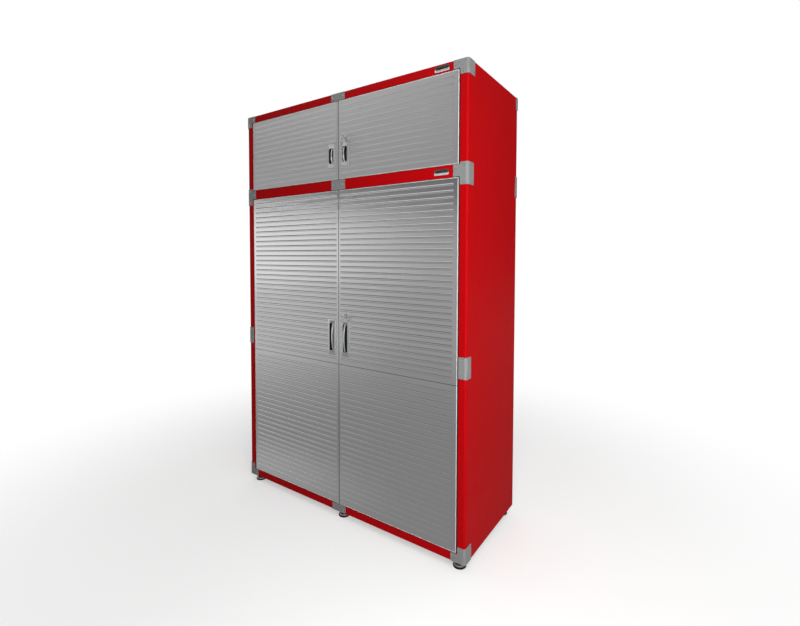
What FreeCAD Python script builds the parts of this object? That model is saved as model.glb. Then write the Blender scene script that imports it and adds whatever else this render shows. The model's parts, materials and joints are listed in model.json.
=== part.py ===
import FreeCAD, Part
import math
import os
from FreeCAD import Vector

# A tall steel storage cabinet on levelling feet. A knock-down red body holds two short doors over two
# tall doors, which are inset between the posts and faced in ribbed sheet. Millimetres, +Z up.
# The shapes are drawn with Y = 0 in the front plane of the body and +Y towards the back, and each is
# moved at the end so that the origin lies on the floor under the middle of the whole cabinet.

# Overall sizes
width = 1219.2
depth = 470.0
height = 1828.8
foot_height = 32.0

# Body panels
panel_sheet = 1.2
corner_radius = 8.0
post_face = 31.0
post_depth = 30.0
post_lip = 12.0
top_rail = 31.0
divider_rail = 43.0
bottom_rail = 31.0
upper_opening = 331.0
lower_side_height = 713.0
rail_return = 40.0
rail_lip = 12.0
rear_flange = 25.0
seam_flange = 22.0
base_lip = 80.0
back_clearance = 0.5
notch_clearance = 0.3

# Brackets and their screws
bracket_sheet = 2.5
bracket_edge = 0.5
bracket_corner = 2.5
bracket_arm = 57.0
corner_leg = 46.0
joint_leg = 41.0
post_leg = 32.0
top_bracket_height = 52.0
bottom_bracket_height = 58.5
joint_drop = 29.0
joint_rise = 7.0
post_bracket_height = 78.0
centre_bracket_width = 75.0
rear_leg = 15.0
rear_arm = 40.0
rear_joint_height = 90.0
screw_radius = 2.0
screw_length = 10.0
screw_head_radius = 3.6
screw_head = 1.6
screw_head_edge = 1.0
screw_inset = 9.0
fixed_fit = 0.02

# Blank badges on the rails
badge_width = 60.0
badge_height = 21.0
badge_thickness = 1.0
badge_gap = 18.6

# Doors
door_thickness = 20.0
door_gap = 2.0
seam_gap = 2.5
hinge_gap = 3.4
door_sheet = 0.9
pan_sheet = 1.0
hinge_edge_radius = 9.0
fold_radius = 1.5
inner_fold_radius = 0.2
lower_skin_height = 613.5
skin_joint = 1.8
joint_strap = 24.0

# Ribs rolled into the door skins
rib_pitch = 23.2
rib_width = 9.0
rib_height = 1.1
rib_margin = 17.0
rib_free_inset = 10.0
rib_hinge_inset = 22.0
rib_root = 0.3

# Hinge pins and bushes
pin_radius = 4.0
pin_reach = 12.0
pin_head_radius = 7.0
pin_head = 2.0
pin_hole_clearance = 1.0
bush_radius = 6.5
bush_length = 16.0
running_fit = 0.08

# Flush pulls
pull_centre = 39.0
pull_width = 46.0
pull_plate = 3.0
pull_corner = 6.0
pull_edge = 1.2
pull_border = 20.0
lower_pull_height = 159.0
upper_pull_height = 103.0
lower_pull_gap = 35.5
upper_pull_place = 101.5
cup_width = 24.0
cup_depth = 15.0
cup_wall = 1.2
cup_clearance = 0.2
grip_radius = 3.5
grip_inset = 7.5
grip_rise = 5.0
grip_root = 3.0

# Locks and keys
lock_centre = 40.0
lower_lock_gap = 4.0
upper_lock_gap = 2.0
lock_flange_radius = 12.0
lock_flange = 2.0
lock_radius = 9.5
lock_nut_radius = 13.0
lock_nut = 3.0
lock_tail = 4.0
plug_radius = 6.2
plug_lip = 0.6
keyway_width = 2.8
keyway_height = 9.0
keyway_depth = 21.0
cam_length = 50.0
cam_width = 14.0
cam_sheet = 2.0
cam_gap = 1.0
cam_screw_radius = 4.0
cam_screw = 2.0
key_sheet = 2.2
key_blade = 8.0
key_reach = 19.0
key_bow_radius = 10.0
key_neck = 6.0
key_hole_radius = 2.8
key_hole_inset = 4.5
ring_radius = 9.0
ring_wire = 0.9
ring_play = 0.2
strike_width = 18.0
strike_height = 22.0
strike_gap = 0.3

# Slide bolts, catches
bolt_radius = 4.0
bolt_length = 90.0
bolt_place = 25.0
bolt_travel = 14.0
bolt_hole_clearance = 1.0
guide_width = 16.0
guide_height = 10.0
guide_wall = 2.0
knob_radius = 3.5
knob_length = 8.0
knob_play = 1.0
catch_place = 100.0
catch_width = 40.0
catch_depth = 14.0
catch_height = 12.0
catch_gap = 0.3

# Shelves
shelf_sheet = 1.0
shelf_flange = 25.0
shelf_front = 48.0
shelf_back_gap = 6.0
shelf_side_gap = 0.5
standard_width = 16.0
standard_depth = 8.0
standard_sheet = 1.2
standard_front = 85.0
standard_rear = 395.0
standard_end_gap = 12.0
slot_pitch = 25.0
slot_width = 3.2
slot_height = 12.0
clip_sheet = 2.0
clip_width = 14.0
clip_height = 30.0
clip_ledge = 12.0
clip_tab = 5.0
clip_tab_height = 10.0
shelf_slots = (12, 25, 38)

# Levelling feet
foot_side_inset = 38.0
foot_end_inset = 34.0
pad_radius = 25.0
pad_height = 7.0
pad_edge = 1.5
dome_radius = 21.0
dome_top_radius = 8.0
dome_height = 9.0
stem_radius = 4.0
stem_spare = 3.0
stem_hole_clearance = 1.0
nut_flats = 17.0
nut_height = 6.0
nut_gap = 0.3
foot_plate = 32.0
foot_plate_sheet = 2.5
weld_nut_radius = 7.0
weld_nut = 8.0

# Wall fixing holes at the back
wall_hole_radius = 4.0
wall_hole_spacing = 812.8
wall_hole_drop = 60.0

# Worked out from the sizes above
half_width = width / 2
body_bottom = foot_height
body_top = height
post_inner = half_width - post_face
web_inner = half_width - panel_sheet
base_top = body_bottom + bottom_rail
upper_top = body_top - top_rail
divider_top = upper_top - upper_opening
divider_bottom = divider_top - divider_rail
lower_joint = body_bottom + lower_side_height
upper_joint = (divider_bottom + divider_top) / 2
back_front = depth - 2 * panel_sheet
inner_back = back_front - panel_sheet
door_free = seam_gap / 2
door_outer = post_inner - hinge_gap
pin_x = door_outer - hinge_edge_radius
pin_y = hinge_edge_radius
lower_door = (base_top + door_gap, divider_bottom - door_gap)
upper_door = (divider_top + door_gap, upper_top - door_gap)
lower_pull_z = lower_door[0] + lower_skin_height + lower_pull_gap + lower_pull_height / 2
upper_pull_z = upper_door[0] + upper_pull_place
lower_lock_z = lower_pull_z + lower_pull_height / 2 + lower_lock_gap + lock_flange_radius
upper_lock_z = upper_pull_z + upper_pull_height / 2 + upper_lock_gap + lock_flange_radius
cam_front = door_thickness + lock_tail + cam_gap
cup_free = pull_centre - cup_width / 2
cup_far = pull_centre + cup_width / 2
cup_room = cup_wall + cup_clearance
grip_x = cup_free + grip_inset
key_stop = -lock_flange - plug_lip
key_hang = key_neck + 2 * key_bow_radius - key_hole_inset
front_reach = key_hang - key_stop + key_bow_radius
rear_reach = bracket_sheet + screw_head
middle_y = (depth + rear_reach - front_reach) / 2
bolt_y = door_thickness + bolt_radius + guide_wall
over = 1.0

x_axis = Vector(1, 0, 0)
y_axis = Vector(0, 1, 0)
z_axis = Vector(0, 0, 1)
same_place = 1e-6


# Helpers

def box(x0, x1, y0, y1, z0, z1):
    return Part.makeBox(x1 - x0, y1 - y0, z1 - z0, Vector(x0, y0, z0))


def rod(x, y, z, axis, radius, length):
    return Part.makeCylinder(radius, length, Vector(x, y, z), axis)


def join(pieces):
    return pieces[0].multiFuse(pieces[1:]).removeSplitter()


def mirrored(shape):
    return shape.mirror(Vector(0, 0, 0), x_axis)


# Rounds the edges that run along an axis and pass through the given place in the other two directions.
def round_edges(shape, axis, radius, places):
    picked = []
    for edge in shape.Edges:
        start = edge.Vertexes[0].Point
        run = edge.Vertexes[-1].Point - start
        if run.Length < same_place or run.cross(axis).Length > same_place:
            continue
        for place in places:
            if (start - place).cross(axis).Length < same_place:
                picked.append(edge)
    return shape.makeFillet(radius, picked)


# A block whose upright front edge at x1 is rounded.
def corner_block(x0, x1, y0, y1, z0, z1, radius):
    block = box(x0, x1, y0, y1, z0, z1)
    return round_edges(block, z_axis, radius, [Vector(x1, y0, 0)])


def both_sides(shape):
    return [shape, mirrored(shape)]


# Body panels, drawn for the right side and mirrored for the left

def side_section(z0, z1):
    outer = corner_block(post_inner, half_width, 0, depth, z0, z1, corner_radius)
    room = corner_block(post_inner - over, web_inner, panel_sheet, depth - panel_sheet,
                        z0 - over, z1 + over, corner_radius - panel_sheet)
    trim = box(post_inner - over, half_width - rear_flange, post_depth, depth + over, z0 - over, z1 + over)
    post_return = box(post_inner, post_inner + panel_sheet, 0, post_depth, z0, z1)
    lip = box(post_inner, post_inner + post_lip, post_depth - panel_sheet, post_depth, z0, z1)
    return join([outer.cut(room).cut(trim), post_return, lip])


# A level sheet that fits between the side webs and is notched round the posts.
def notched_sheet(y1, z0, z1):
    return box(0, web_inner, 0, y1, z0, z1).cut(post_notch(z0, z1))


def post_notch(z0, z1):
    return box(post_inner, half_width, -over, post_depth + notch_clearance, z0 - over, z1 + over)


def base_half():
    web = notched_sheet(back_front, base_top - panel_sheet, base_top)
    front = box(0, post_inner, 0, panel_sheet, body_bottom, base_top)
    front_lip = notched_sheet(base_lip, body_bottom, body_bottom + panel_sheet)
    rear = box(0, web_inner, inner_back, back_front, body_bottom, base_top)
    rear_lip = box(0, web_inner, back_front - base_lip, back_front, body_bottom, body_bottom + panel_sheet)
    seam = box(0, panel_sheet, base_lip, back_front - base_lip, base_top - seam_flange, base_top)
    panel = join([web, front, front_lip, rear, rear_lip, seam])
    for x, y in foot_places():
        hole_radius = stem_radius + stem_hole_clearance
        panel = panel.cut(rod(x, y, body_bottom - over, z_axis, hole_radius, panel_sheet + 2 * over))
    return panel.cut(pin_hole(base_top - panel_sheet, panel_sheet))


def pin_hole(z, sheet):
    return rod(pin_x, pin_y, z - over, z_axis, pin_radius + fixed_fit, sheet + 2 * over)


def divider_half():
    outer = notched_sheet(back_front, divider_bottom, divider_top)
    room = box(-over, half_width, panel_sheet, inner_back, divider_bottom + panel_sheet,
               divider_top - panel_sheet)
    return outer.cut(room).cut(pin_hole(divider_bottom, divider_rail))


def top_half():
    web = corner_block(0, half_width, 0, depth, body_top - panel_sheet, body_top, corner_radius)
    front = box(0, post_inner, 0, panel_sheet, upper_top, body_top)
    under = box(0, post_inner, 0, rail_return, upper_top, upper_top + panel_sheet)
    lip = box(0, post_inner, rail_return - panel_sheet, rail_return, upper_top, upper_top + rail_lip)
    rear = box(0, web_inner, inner_back, back_front, body_top - rear_flange - wall_hole_drop, body_top)
    seam = box(0, panel_sheet, rail_return, back_front, body_top - seam_flange, body_top)
    panel = join([web, front, under, lip, rear, seam])
    return panel.cut(pin_hole(upper_top, panel_sheet))


def bolt_hole(z):
    radius = bolt_radius + bolt_hole_clearance
    return rod(-bolt_place, bolt_y, z - over, z_axis, radius, panel_sheet + 2 * over)


def back_panel(z0, z1):
    reach = web_inner - back_clearance
    return box(-reach, reach, back_front, back_front + panel_sheet, z0, z1)


def wall_holes():
    z = body_top - wall_hole_drop
    holes = []
    for x in (-wall_hole_spacing / 2, wall_hole_spacing / 2):
        holes.append(rod(x, inner_back - over, z, y_axis, wall_hole_radius, 2 * panel_sheet + 2 * over))
    return Part.makeCompound(holes)


# Brackets on the outside of the body, drawn for the right side

def front_angle(leg, z0, z1):
    outer = corner_block(post_inner + bracket_edge, half_width + bracket_sheet, -bracket_sheet, leg,
                         z0, z1, corner_radius + bracket_sheet)
    body = corner_block(0, half_width, 0, depth, z0 - over, z1 + over, corner_radius)
    return outer.cut(body)


def rail_arm(z0, z1):
    return box(half_width - bracket_arm, post_inner + 2 * bracket_edge, -bracket_sheet, 0, z0, z1)


# An angle round the post, with an arm along a rail if one is given.
def front_bracket(leg, z0, z1, rail=None):
    bracket = front_angle(leg, z0, z1)
    ends = [Vector(post_inner + bracket_edge, 0, z0), Vector(post_inner + bracket_edge, 0, z1)]
    if rail:
        bracket = join([bracket, rail_arm(rail[0], rail[1])])
        ends = [Vector(half_width - bracket_arm, 0, rail[0]), Vector(half_width - bracket_arm, 0, rail[1])]
    bracket = round_edges(bracket, y_axis, bracket_corner, ends)
    return round_edges(bracket, x_axis, bracket_corner, [Vector(0, leg, z0), Vector(0, leg, z1)])


def centre_bracket(z0, z1):
    half = centre_bracket_width / 2
    plate = box(-half, half, -bracket_sheet, 0, z0, z1)
    corners = [Vector(x, 0, z) for x in (-half, half) for z in (z0, z1)]
    return round_edges(plate, y_axis, bracket_corner, corners)


def rear_bracket(z0, z1):
    outer = box(half_width - rear_arm, half_width + bracket_sheet, depth - rear_leg, depth + bracket_sheet,
                z0, z1)
    bracket = outer.cut(box(0, half_width, 0, depth, z0 - over, z1 + over))
    corners = [Vector(half_width - rear_arm, 0, z0), Vector(half_width - rear_arm, 0, z1)]
    return round_edges(bracket, y_axis, bracket_corner, corners)


# Heights at which the brackets start and end.
top_span = (body_top - top_bracket_height, body_top)
bottom_span = (body_bottom, body_bottom + bottom_bracket_height)
joint_span = (divider_bottom - joint_drop, divider_top + joint_rise)
post_span = (lower_joint - post_bracket_height / 2, lower_joint + post_bracket_height / 2)
rear_joint_span = (upper_joint - rear_joint_height / 2, upper_joint + rear_joint_height / 2)
rail_spans = [(body_bottom, base_top), (divider_bottom, divider_top), (upper_top, body_top)]


# Each screw is a place on the body's surface and the way out of it.
def screw_places():
    front = -y_axis
    post_x = half_width - post_face / 2
    arm_x = half_width - bracket_arm + screw_inset
    places = []
    for rail in rail_spans:
        z = (rail[0] + rail[1]) / 2
        places.append((Vector(arm_x, 0, z), front))
        places.append((Vector(centre_bracket_width / 2 - screw_inset, 0, z), front))
    ends = [top_span[0] + screw_inset, bottom_span[1] - screw_inset]
    for z in ends:
        places.append((Vector(post_x, 0, z), front))
        places.append((Vector(half_width, corner_leg - screw_inset, z), x_axis))
    for span, leg in ((joint_span, joint_leg), (post_span, post_leg)):
        for z in (span[0] + screw_inset, span[1] - screw_inset):
            places.append((Vector(post_x, 0, z), front))
            places.append((Vector(half_width, leg - screw_inset, z), x_axis))
    for span in (top_span, rear_joint_span):
        z = span[0] + screw_inset
        places.append((Vector(half_width - rear_arm + screw_inset, depth, z), y_axis))
        places.append((Vector(half_width, depth - rear_leg / 2, z), x_axis))
    return places


def screw(place, out):
    seat = place + out * bracket_sheet
    head = Part.makeCylinder(screw_head_radius, screw_head, seat, out)
    rim = [edge for edge in head.Edges if (edge.CenterOfMass - seat).dot(out) > screw_head - same_place]
    head = head.makeFillet(screw_head_edge, rim)
    shank = Part.makeCylinder(screw_radius, screw_length, seat, -out)
    return head.fuse(shank)


def screw_holes():
    holes = []
    for place, out in screw_places():
        start = place + out * (bracket_sheet + over)
        hole = Part.makeCylinder(screw_radius + fixed_fit, screw_length + over, start, -out)
        holes.extend(both_sides(hole))
    return Part.makeCompound(holes)


# Doors, drawn for the right side

# The door's outline seen from above, drawn in by an inset, with its hinge edge rounded about the pin.
def door_block(z0, z1, inset, back):
    block = corner_block(door_free + inset, door_outer - inset, inset, back, z0, z1,
                         hinge_edge_radius - inset)
    fold = max(fold_radius - inset, inner_fold_radius)
    return round_edges(block, z_axis, fold, [Vector(door_free + inset, inset, 0)])


def rib(z):
    low = z - rib_width / 2
    high = z + rib_width / 2
    x = door_free + rib_free_inset
    crest = Part.Arc(Vector(x, 0, low), Vector(x, -rib_height, z), Vector(x, 0, high)).toShape()
    up = Part.LineSegment(Vector(x, 0, high), Vector(x, rib_root, high)).toShape()
    back = Part.LineSegment(Vector(x, rib_root, high), Vector(x, rib_root, low)).toShape()
    down = Part.LineSegment(Vector(x, rib_root, low), Vector(x, 0, low)).toShape()
    outline = Part.Wire([crest, up, back, down])
    run = door_outer - rib_hinge_inset - x
    return Part.Face(outline).extrude(Vector(run, 0, 0))


# Ribs at an even pitch, centred on the sheet's height.
def rib_heights(z0, z1):
    count = int((z1 - z0 - 2 * rib_margin) / rib_pitch) + 1
    first = (z0 + z1 - (count - 1) * rib_pitch) / 2
    return [first + i * rib_pitch for i in range(count)]


def skin(z0, z1):
    sheet = door_block(z0, z1, 0, door_thickness)
    sheet = sheet.cut(door_block(z0 - over, z1 + over, door_sheet, door_thickness + over))
    return join([sheet] + [rib(z) for z in rib_heights(z0, z1)])


# Half the height of the hole that the finger cup needs.
def cup_hole_half(tall):
    return tall / 2 - pull_border + cup_room


# A skin is divided above, below and beside its cup hole, so that no piece of it bends round the hole.
def divided_skin(sheet, pull_z, tall, z0, z1):
    low = pull_z - cup_hole_half(tall)
    high = pull_z + cup_hole_half(tall)
    front = -rib_height - over
    spans = [(0, door_outer, z0, low), (0, door_outer, high, z1), (0, cup_free - cup_room, low, high),
             (cup_far + cup_room, door_outer, low, high)]
    blocks = [box(x0, x1, front, door_thickness, low_z, high_z) for x0, x1, low_z, high_z in spans]
    return [sheet.common(block) for block in blocks]


def bush(z):
    post = rod(pin_x, pin_y, z, z_axis, bush_radius, bush_length)
    return post.cut(rod(pin_x, pin_y, z - over, z_axis, pin_radius + running_fit, bush_length + 2 * over))


# The door's back: a tray of four edges and a back sheet, with a strap behind the joint between two skins.
def pan(z0, z1, strap_z=None):
    tray = door_block(z0, z1, door_sheet, door_thickness)
    inset = door_sheet + pan_sheet
    room = corner_block(door_free + inset, door_outer - inset, 0, door_thickness - pan_sheet,
                        z0 + pan_sheet, z1 - pan_sheet, hinge_edge_radius)
    hole_radius = pin_radius + pin_hole_clearance
    tray = tray.cut(room).cut(rod(pin_x, pin_y, z0 - over, z_axis, hole_radius, z1 - z0 + 2 * over))
    low = z0 + pan_sheet
    high = z1 - pan_sheet
    back = door_thickness - pan_sheet
    blocks = [box(0, door_outer, 0, back, z0, low), box(0, door_outer, 0, back, high, z1),
              box(0, cup_far, 0, back, low, high), box(cup_far, door_outer, 0, back, low, high),
              box(0, door_outer, back, door_thickness, z0, z1)]
    sheets = [tray.common(block) for block in blocks]
    if strap_z:
        sheets.append(box(door_free + inset, pin_x, door_sheet, inset, strap_z - joint_strap / 2,
                          strap_z + joint_strap / 2))
    return sheets


def door_bushes(z0, z1):
    return [bush(z0 + pan_sheet), bush(z1 - pan_sheet - bush_length)]


# The pull's plate outline, used for the plate and to clear the ribs under it.
def pull_block(z, tall, front, back):
    x0 = pull_centre - pull_width / 2
    x1 = pull_centre + pull_width / 2
    block = box(x0, x1, front, back, z - tall / 2, z + tall / 2)
    corners = [Vector(x, 0, z + side * tall / 2) for x in (x0, x1) for side in (-1, 1)]
    return round_edges(block, y_axis, pull_corner, corners)


def cup_block(z, tall, grow, front, back):
    half = tall / 2 - pull_border + grow
    block = box(cup_free - grow, cup_far + grow, front, back, z - half, z + half)
    corners = [Vector(x, 0, z + side * half) for x in (cup_free - grow, cup_far + grow) for side in (-1, 1)]
    return round_edges(block, y_axis, pull_corner + grow, corners)


# A plate with a sunken finger cup, and a bowed grip that stands across the cup near its free side.
def pull(z, tall):
    plate = pull_block(z, tall, -pull_plate, 0)
    rim = [edge for edge in plate.Edges if abs(edge.CenterOfMass.y + pull_plate) < same_place]
    plate = plate.makeFillet(pull_edge, rim)
    cup = cup_block(z, tall, cup_wall, -pull_plate / 2, cup_depth)
    room = cup_block(z, tall, 0, -pull_plate - over, cup_depth - cup_wall)
    shell = join([plate, cup]).cut(room)
    half = tall / 2 - pull_border + cup_wall / 2
    foot = Vector(grip_x, grip_root, z - half)
    bow = Part.Arc(foot, Vector(grip_x, -grip_rise, z), Vector(grip_x, grip_root, z + half))
    path = Part.Wire([bow.toShape()])
    tangent = bow.tangent(bow.FirstParameter)[0]
    ring = Part.Wire([Part.Circle(foot, tangent, grip_radius).toShape()])
    bar = path.makePipeShell([ring], True, True)
    inside = box(cup_free - cup_wall, cup_far + cup_wall, -grip_rise - 2 * grip_radius, cup_depth,
                 z - half, z + half)
    return join([shell, bar.common(inside)])


def lock_body(z):
    flange = rod(lock_centre, -lock_flange, z, y_axis, lock_flange_radius, lock_flange)
    barrel = rod(lock_centre, -lock_flange, z, y_axis, lock_radius, lock_flange + door_thickness + lock_tail)
    nut = rod(lock_centre, door_thickness, z, y_axis, lock_nut_radius, lock_nut)
    bore_length = lock_flange + door_thickness + lock_tail + 2 * over
    bore = rod(lock_centre, -lock_flange - over, z, y_axis, plug_radius + running_fit, bore_length)
    return join([flange, barrel, nut]).cut(bore)


# The turning plug with its keyway, and the cam on its tail, which hangs down when unlocked.
def lock_plug(z):
    plug = rod(lock_centre, key_stop, z, y_axis, plug_radius, cam_front - key_stop)
    slot = box(lock_centre - keyway_width / 2, lock_centre + keyway_width / 2, key_stop - over,
               key_stop + keyway_depth, z - keyway_height / 2, z + keyway_height / 2)
    hub = rod(lock_centre, cam_front, z, y_axis, cam_width / 2, cam_sheet)
    blade = box(lock_centre - cam_width / 2, lock_centre + cam_width / 2, cam_front, cam_front + cam_sheet,
                z - cam_length, z)
    tip = rod(lock_centre, cam_front, z - cam_length, y_axis, cam_width / 2, cam_sheet)
    screw_end = rod(lock_centre, cam_front + cam_sheet, z, y_axis, cam_screw_radius, cam_screw)
    return join([plug.cut(slot), hub, blade, tip, screw_end])


# A flat key in the YZ plane, drawn with the step from blade to bow at y, and pointing along +Y.
def key_blank(x, y, z):
    half = key_sheet / 2
    blade = box(x - half, x + half, y - key_neck, y + key_reach, z - key_blade / 2, z + key_blade / 2)
    bow_y = y - key_neck - key_bow_radius
    bow = rod(x - half, bow_y, z, x_axis, key_bow_radius, key_sheet)
    bridge = box(x - half, x + half, bow_y, y - key_neck, z - key_blade / 2, z + key_blade / 2)
    hole = rod(x - half - over, key_hole_y(y), z, x_axis, key_hole_radius, key_sheet + 2 * over)
    return join([blade, bow, bridge]).cut(hole)


def key_hole_y(y):
    return y - key_hang


# The ring rests in the hole of the key's bow, and a second key hangs from the bottom of the ring.
def key_ring(z):
    y = key_hole_y(key_stop)
    top = z - key_hole_radius + ring_wire + ring_play
    middle = Vector(lock_centre, y, top - ring_radius)
    ring = Part.makeTorus(ring_radius, ring_wire, middle, y_axis)
    spare = key_blank(lock_centre, 0, 0)
    hole = Vector(lock_centre, key_hole_y(0), 0)
    spare.rotate(hole, x_axis, -90)
    hang_z = top - 2 * ring_radius + ring_wire + ring_play - key_hole_radius
    spare.translate(Vector(0, y, hang_z) - Vector(0, hole.y, 0))
    return [ring, spare]


def skin_openings(pull_z, tall, lock_z=None):
    tools = [pull_block(pull_z, tall, -pull_plate - over, 0)]
    half = cup_hole_half(tall)
    tools.append(box(cup_free - cup_room, cup_far + cup_room, -over, door_thickness / 2, pull_z - half,
                     pull_z + half))
    if lock_z:
        start = -lock_flange - over
        tools.append(rod(lock_centre, start, lock_z, y_axis, lock_flange_radius, -start))
        tools.append(lock_hole(lock_z))
    return tools


def lock_hole(z):
    return rod(lock_centre, -over, z, y_axis, lock_radius + fixed_fit, door_thickness + 2 * over)


# Guides and strike on the back of a left door, drawn on the right and mirrored with it.
def bolt_guides(door_top):
    guides = []
    for z in guide_heights(door_top):
        block = box(bolt_place - guide_width / 2, bolt_place + guide_width / 2, door_thickness,
                    bolt_y + bolt_radius + guide_wall, z, z + guide_height)
        bore = rod(bolt_place, bolt_y, z - over, z_axis, bolt_radius + running_fit, guide_height + 2 * over)
        guides.append(block.cut(bore))
    return guides


def guide_heights(door_top):
    upper = door_top - 2 * guide_height
    lower = upper - guide_height - bolt_travel - 2 * knob_radius - 2 * knob_play
    return [lower, upper]


def bolt(door_top):
    lower, upper = guide_heights(door_top)
    shaft = rod(bolt_place, bolt_y, door_top - door_gap - bolt_length, z_axis, bolt_radius, bolt_length)
    knob_z = lower + guide_height + knob_radius + knob_play
    knob = rod(bolt_place, bolt_y, knob_z, y_axis, knob_radius, bolt_radius + knob_length)
    return join([shaft, knob])


def strike(lock_z):
    return box(door_free + door_sheet, door_free + door_sheet + strike_width, door_thickness,
               cam_front - strike_gap, lock_z - strike_height / 2, lock_z + strike_height / 2)


# Shelves and what carries them

def standard(y):
    z0 = base_top + standard_end_gap
    z1 = divider_bottom - standard_end_gap
    face = web_inner - standard_depth
    strip = box(face, web_inner, y - standard_width / 2, y + standard_width / 2, z0, z1)
    room = box(face + standard_sheet, web_inner + over, y - standard_width / 2 + standard_sheet,
               y + standard_width / 2 - standard_sheet, z0 - over, z1 + over)
    slots = [box(face - over, face + 2 * standard_sheet, y - slot_width / 2, y + slot_width / 2,
                 z - slot_height / 2, z + slot_height / 2) for z in slot_heights()]
    return strip.cut(room).cut(Part.makeCompound(slots))


def slot_heights():
    first = base_top + standard_end_gap + slot_pitch
    count = int((divider_bottom - standard_end_gap - slot_height - first) / slot_pitch) + 1
    return [first + i * slot_pitch for i in range(count)]


# The height of a ledge: a clip's tab sits on the bottom of its slot, and the ledge lies level with it.
def ledge_height(slot):
    return slot_heights()[slot] - slot_height / 2


def clip(y, z):
    face = web_inner - standard_depth
    plate = box(face - clip_sheet, face, y - clip_width / 2, y + clip_width / 2, z - clip_sheet,
                z - clip_sheet + clip_height)
    ledge = box(face - clip_sheet - clip_ledge, face, y - clip_width / 2, y + clip_width / 2,
                z - clip_sheet, z)
    tab = box(face - clip_sheet, face + clip_tab, y - slot_width / 2 + running_fit,
              y + slot_width / 2 - running_fit, z, z + clip_tab_height)
    return join([plate, ledge, tab])


def shelf(z):
    reach = web_inner - standard_depth - clip_sheet - shelf_side_gap
    back = inner_back - shelf_back_gap
    tray = box(-reach, reach, shelf_front, back, z, z + shelf_flange)
    room = box(-reach + shelf_sheet, reach - shelf_sheet, shelf_front + shelf_sheet, back - shelf_sheet,
               z - over, z + shelf_flange - shelf_sheet)
    return tray.cut(room)


# Levelling feet

def foot_places():
    near = foot_end_inset
    far = depth - foot_end_inset
    x = half_width - foot_side_inset
    return [(-x, near), (0, near), (x, near), (-x, far), (0, far), (x, far)]


def hex_nut(x, y, z, tall):
    reach = nut_flats / math.sqrt(3)
    turns = [math.radians(60 * i) for i in range(7)]
    corners = [Vector(x + reach * math.cos(a), y + reach * math.sin(a), z) for a in turns]
    return Part.Face(Part.makePolygon(corners)).extrude(Vector(0, 0, tall))


def foot(x, y):
    pad = rod(x, y, 0, z_axis, pad_radius, pad_height)
    rims = [edge for edge in pad.Edges if edge.Length > pad_radius]
    pad = pad.makeFillet(pad_edge, rims)
    dome = Part.makeCone(dome_radius, dome_top_radius, dome_height, Vector(x, y, pad_height), z_axis)
    stem_top = body_bottom + panel_sheet + foot_plate_sheet + weld_nut + stem_spare
    stem = rod(x, y, pad_height, z_axis, stem_radius, stem_top - pad_height)
    nut = hex_nut(x, y, body_bottom - nut_gap - nut_height, nut_height)
    return [pad, join([dome, stem, nut])]


def foot_support(x, y):
    z = body_bottom + panel_sheet
    half = foot_plate / 2
    plate = box(x - half, x + half, y - half, y + half, z, z + foot_plate_sheet)
    notches = Part.makeCompound(both_sides(post_notch(z, z + foot_plate_sheet)))
    boss = rod(x, y, z, z_axis, weld_nut_radius, foot_plate_sheet + weld_nut)
    bore = rod(x, y, z - over, z_axis, stem_radius + running_fit, foot_plate_sheet + weld_nut + 2 * over)
    return join([plate.cut(notches), boss]).cut(bore)


# Hinge pins: a head that bears on the inside of a rail, and a shank that reaches into the door's bush.
def hinge_pin(z, way):
    shank = panel_sheet + door_gap + pan_sheet + pin_reach
    head_start = z - way * (panel_sheet + pin_head)
    head = Part.makeCylinder(pin_head_radius, pin_head, Vector(pin_x, pin_y, head_start), z_axis * way)
    pin = Part.makeCylinder(pin_radius, shank, Vector(pin_x, pin_y, z - way * panel_sheet), z_axis * way)
    return join([head, pin])


def hinge_pins():
    faces = [(base_top, 1), (divider_bottom, -1), (divider_top, 1), (upper_top, -1)]
    pins = []
    for z, way in faces:
        pins.extend(both_sides(hinge_pin(z, way)))
    return pins


def door_catches():
    catches = []
    y0 = door_thickness + catch_gap
    for z in (divider_bottom, upper_top):
        block = box(catch_place - catch_width / 2, catch_place + catch_width / 2, y0, y0 + catch_depth,
                    z - catch_height, z)
        catches.extend(both_sides(block))
    return catches


def badges():
    x1 = half_width - bracket_arm - badge_gap
    plates = []
    for rail in rail_spans[1:]:
        z = (rail[0] + rail[1]) / 2
        plates.append(box(x1 - badge_width, x1, -badge_thickness, 0, z - badge_height / 2,
                          z + badge_height / 2))
    return plates


# Writing the nodes

nodes = {}


def keep(name, shape):
    if isinstance(shape, list):
        shape = Part.makeCompound(shape)
    nodes[name] = shape


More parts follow.
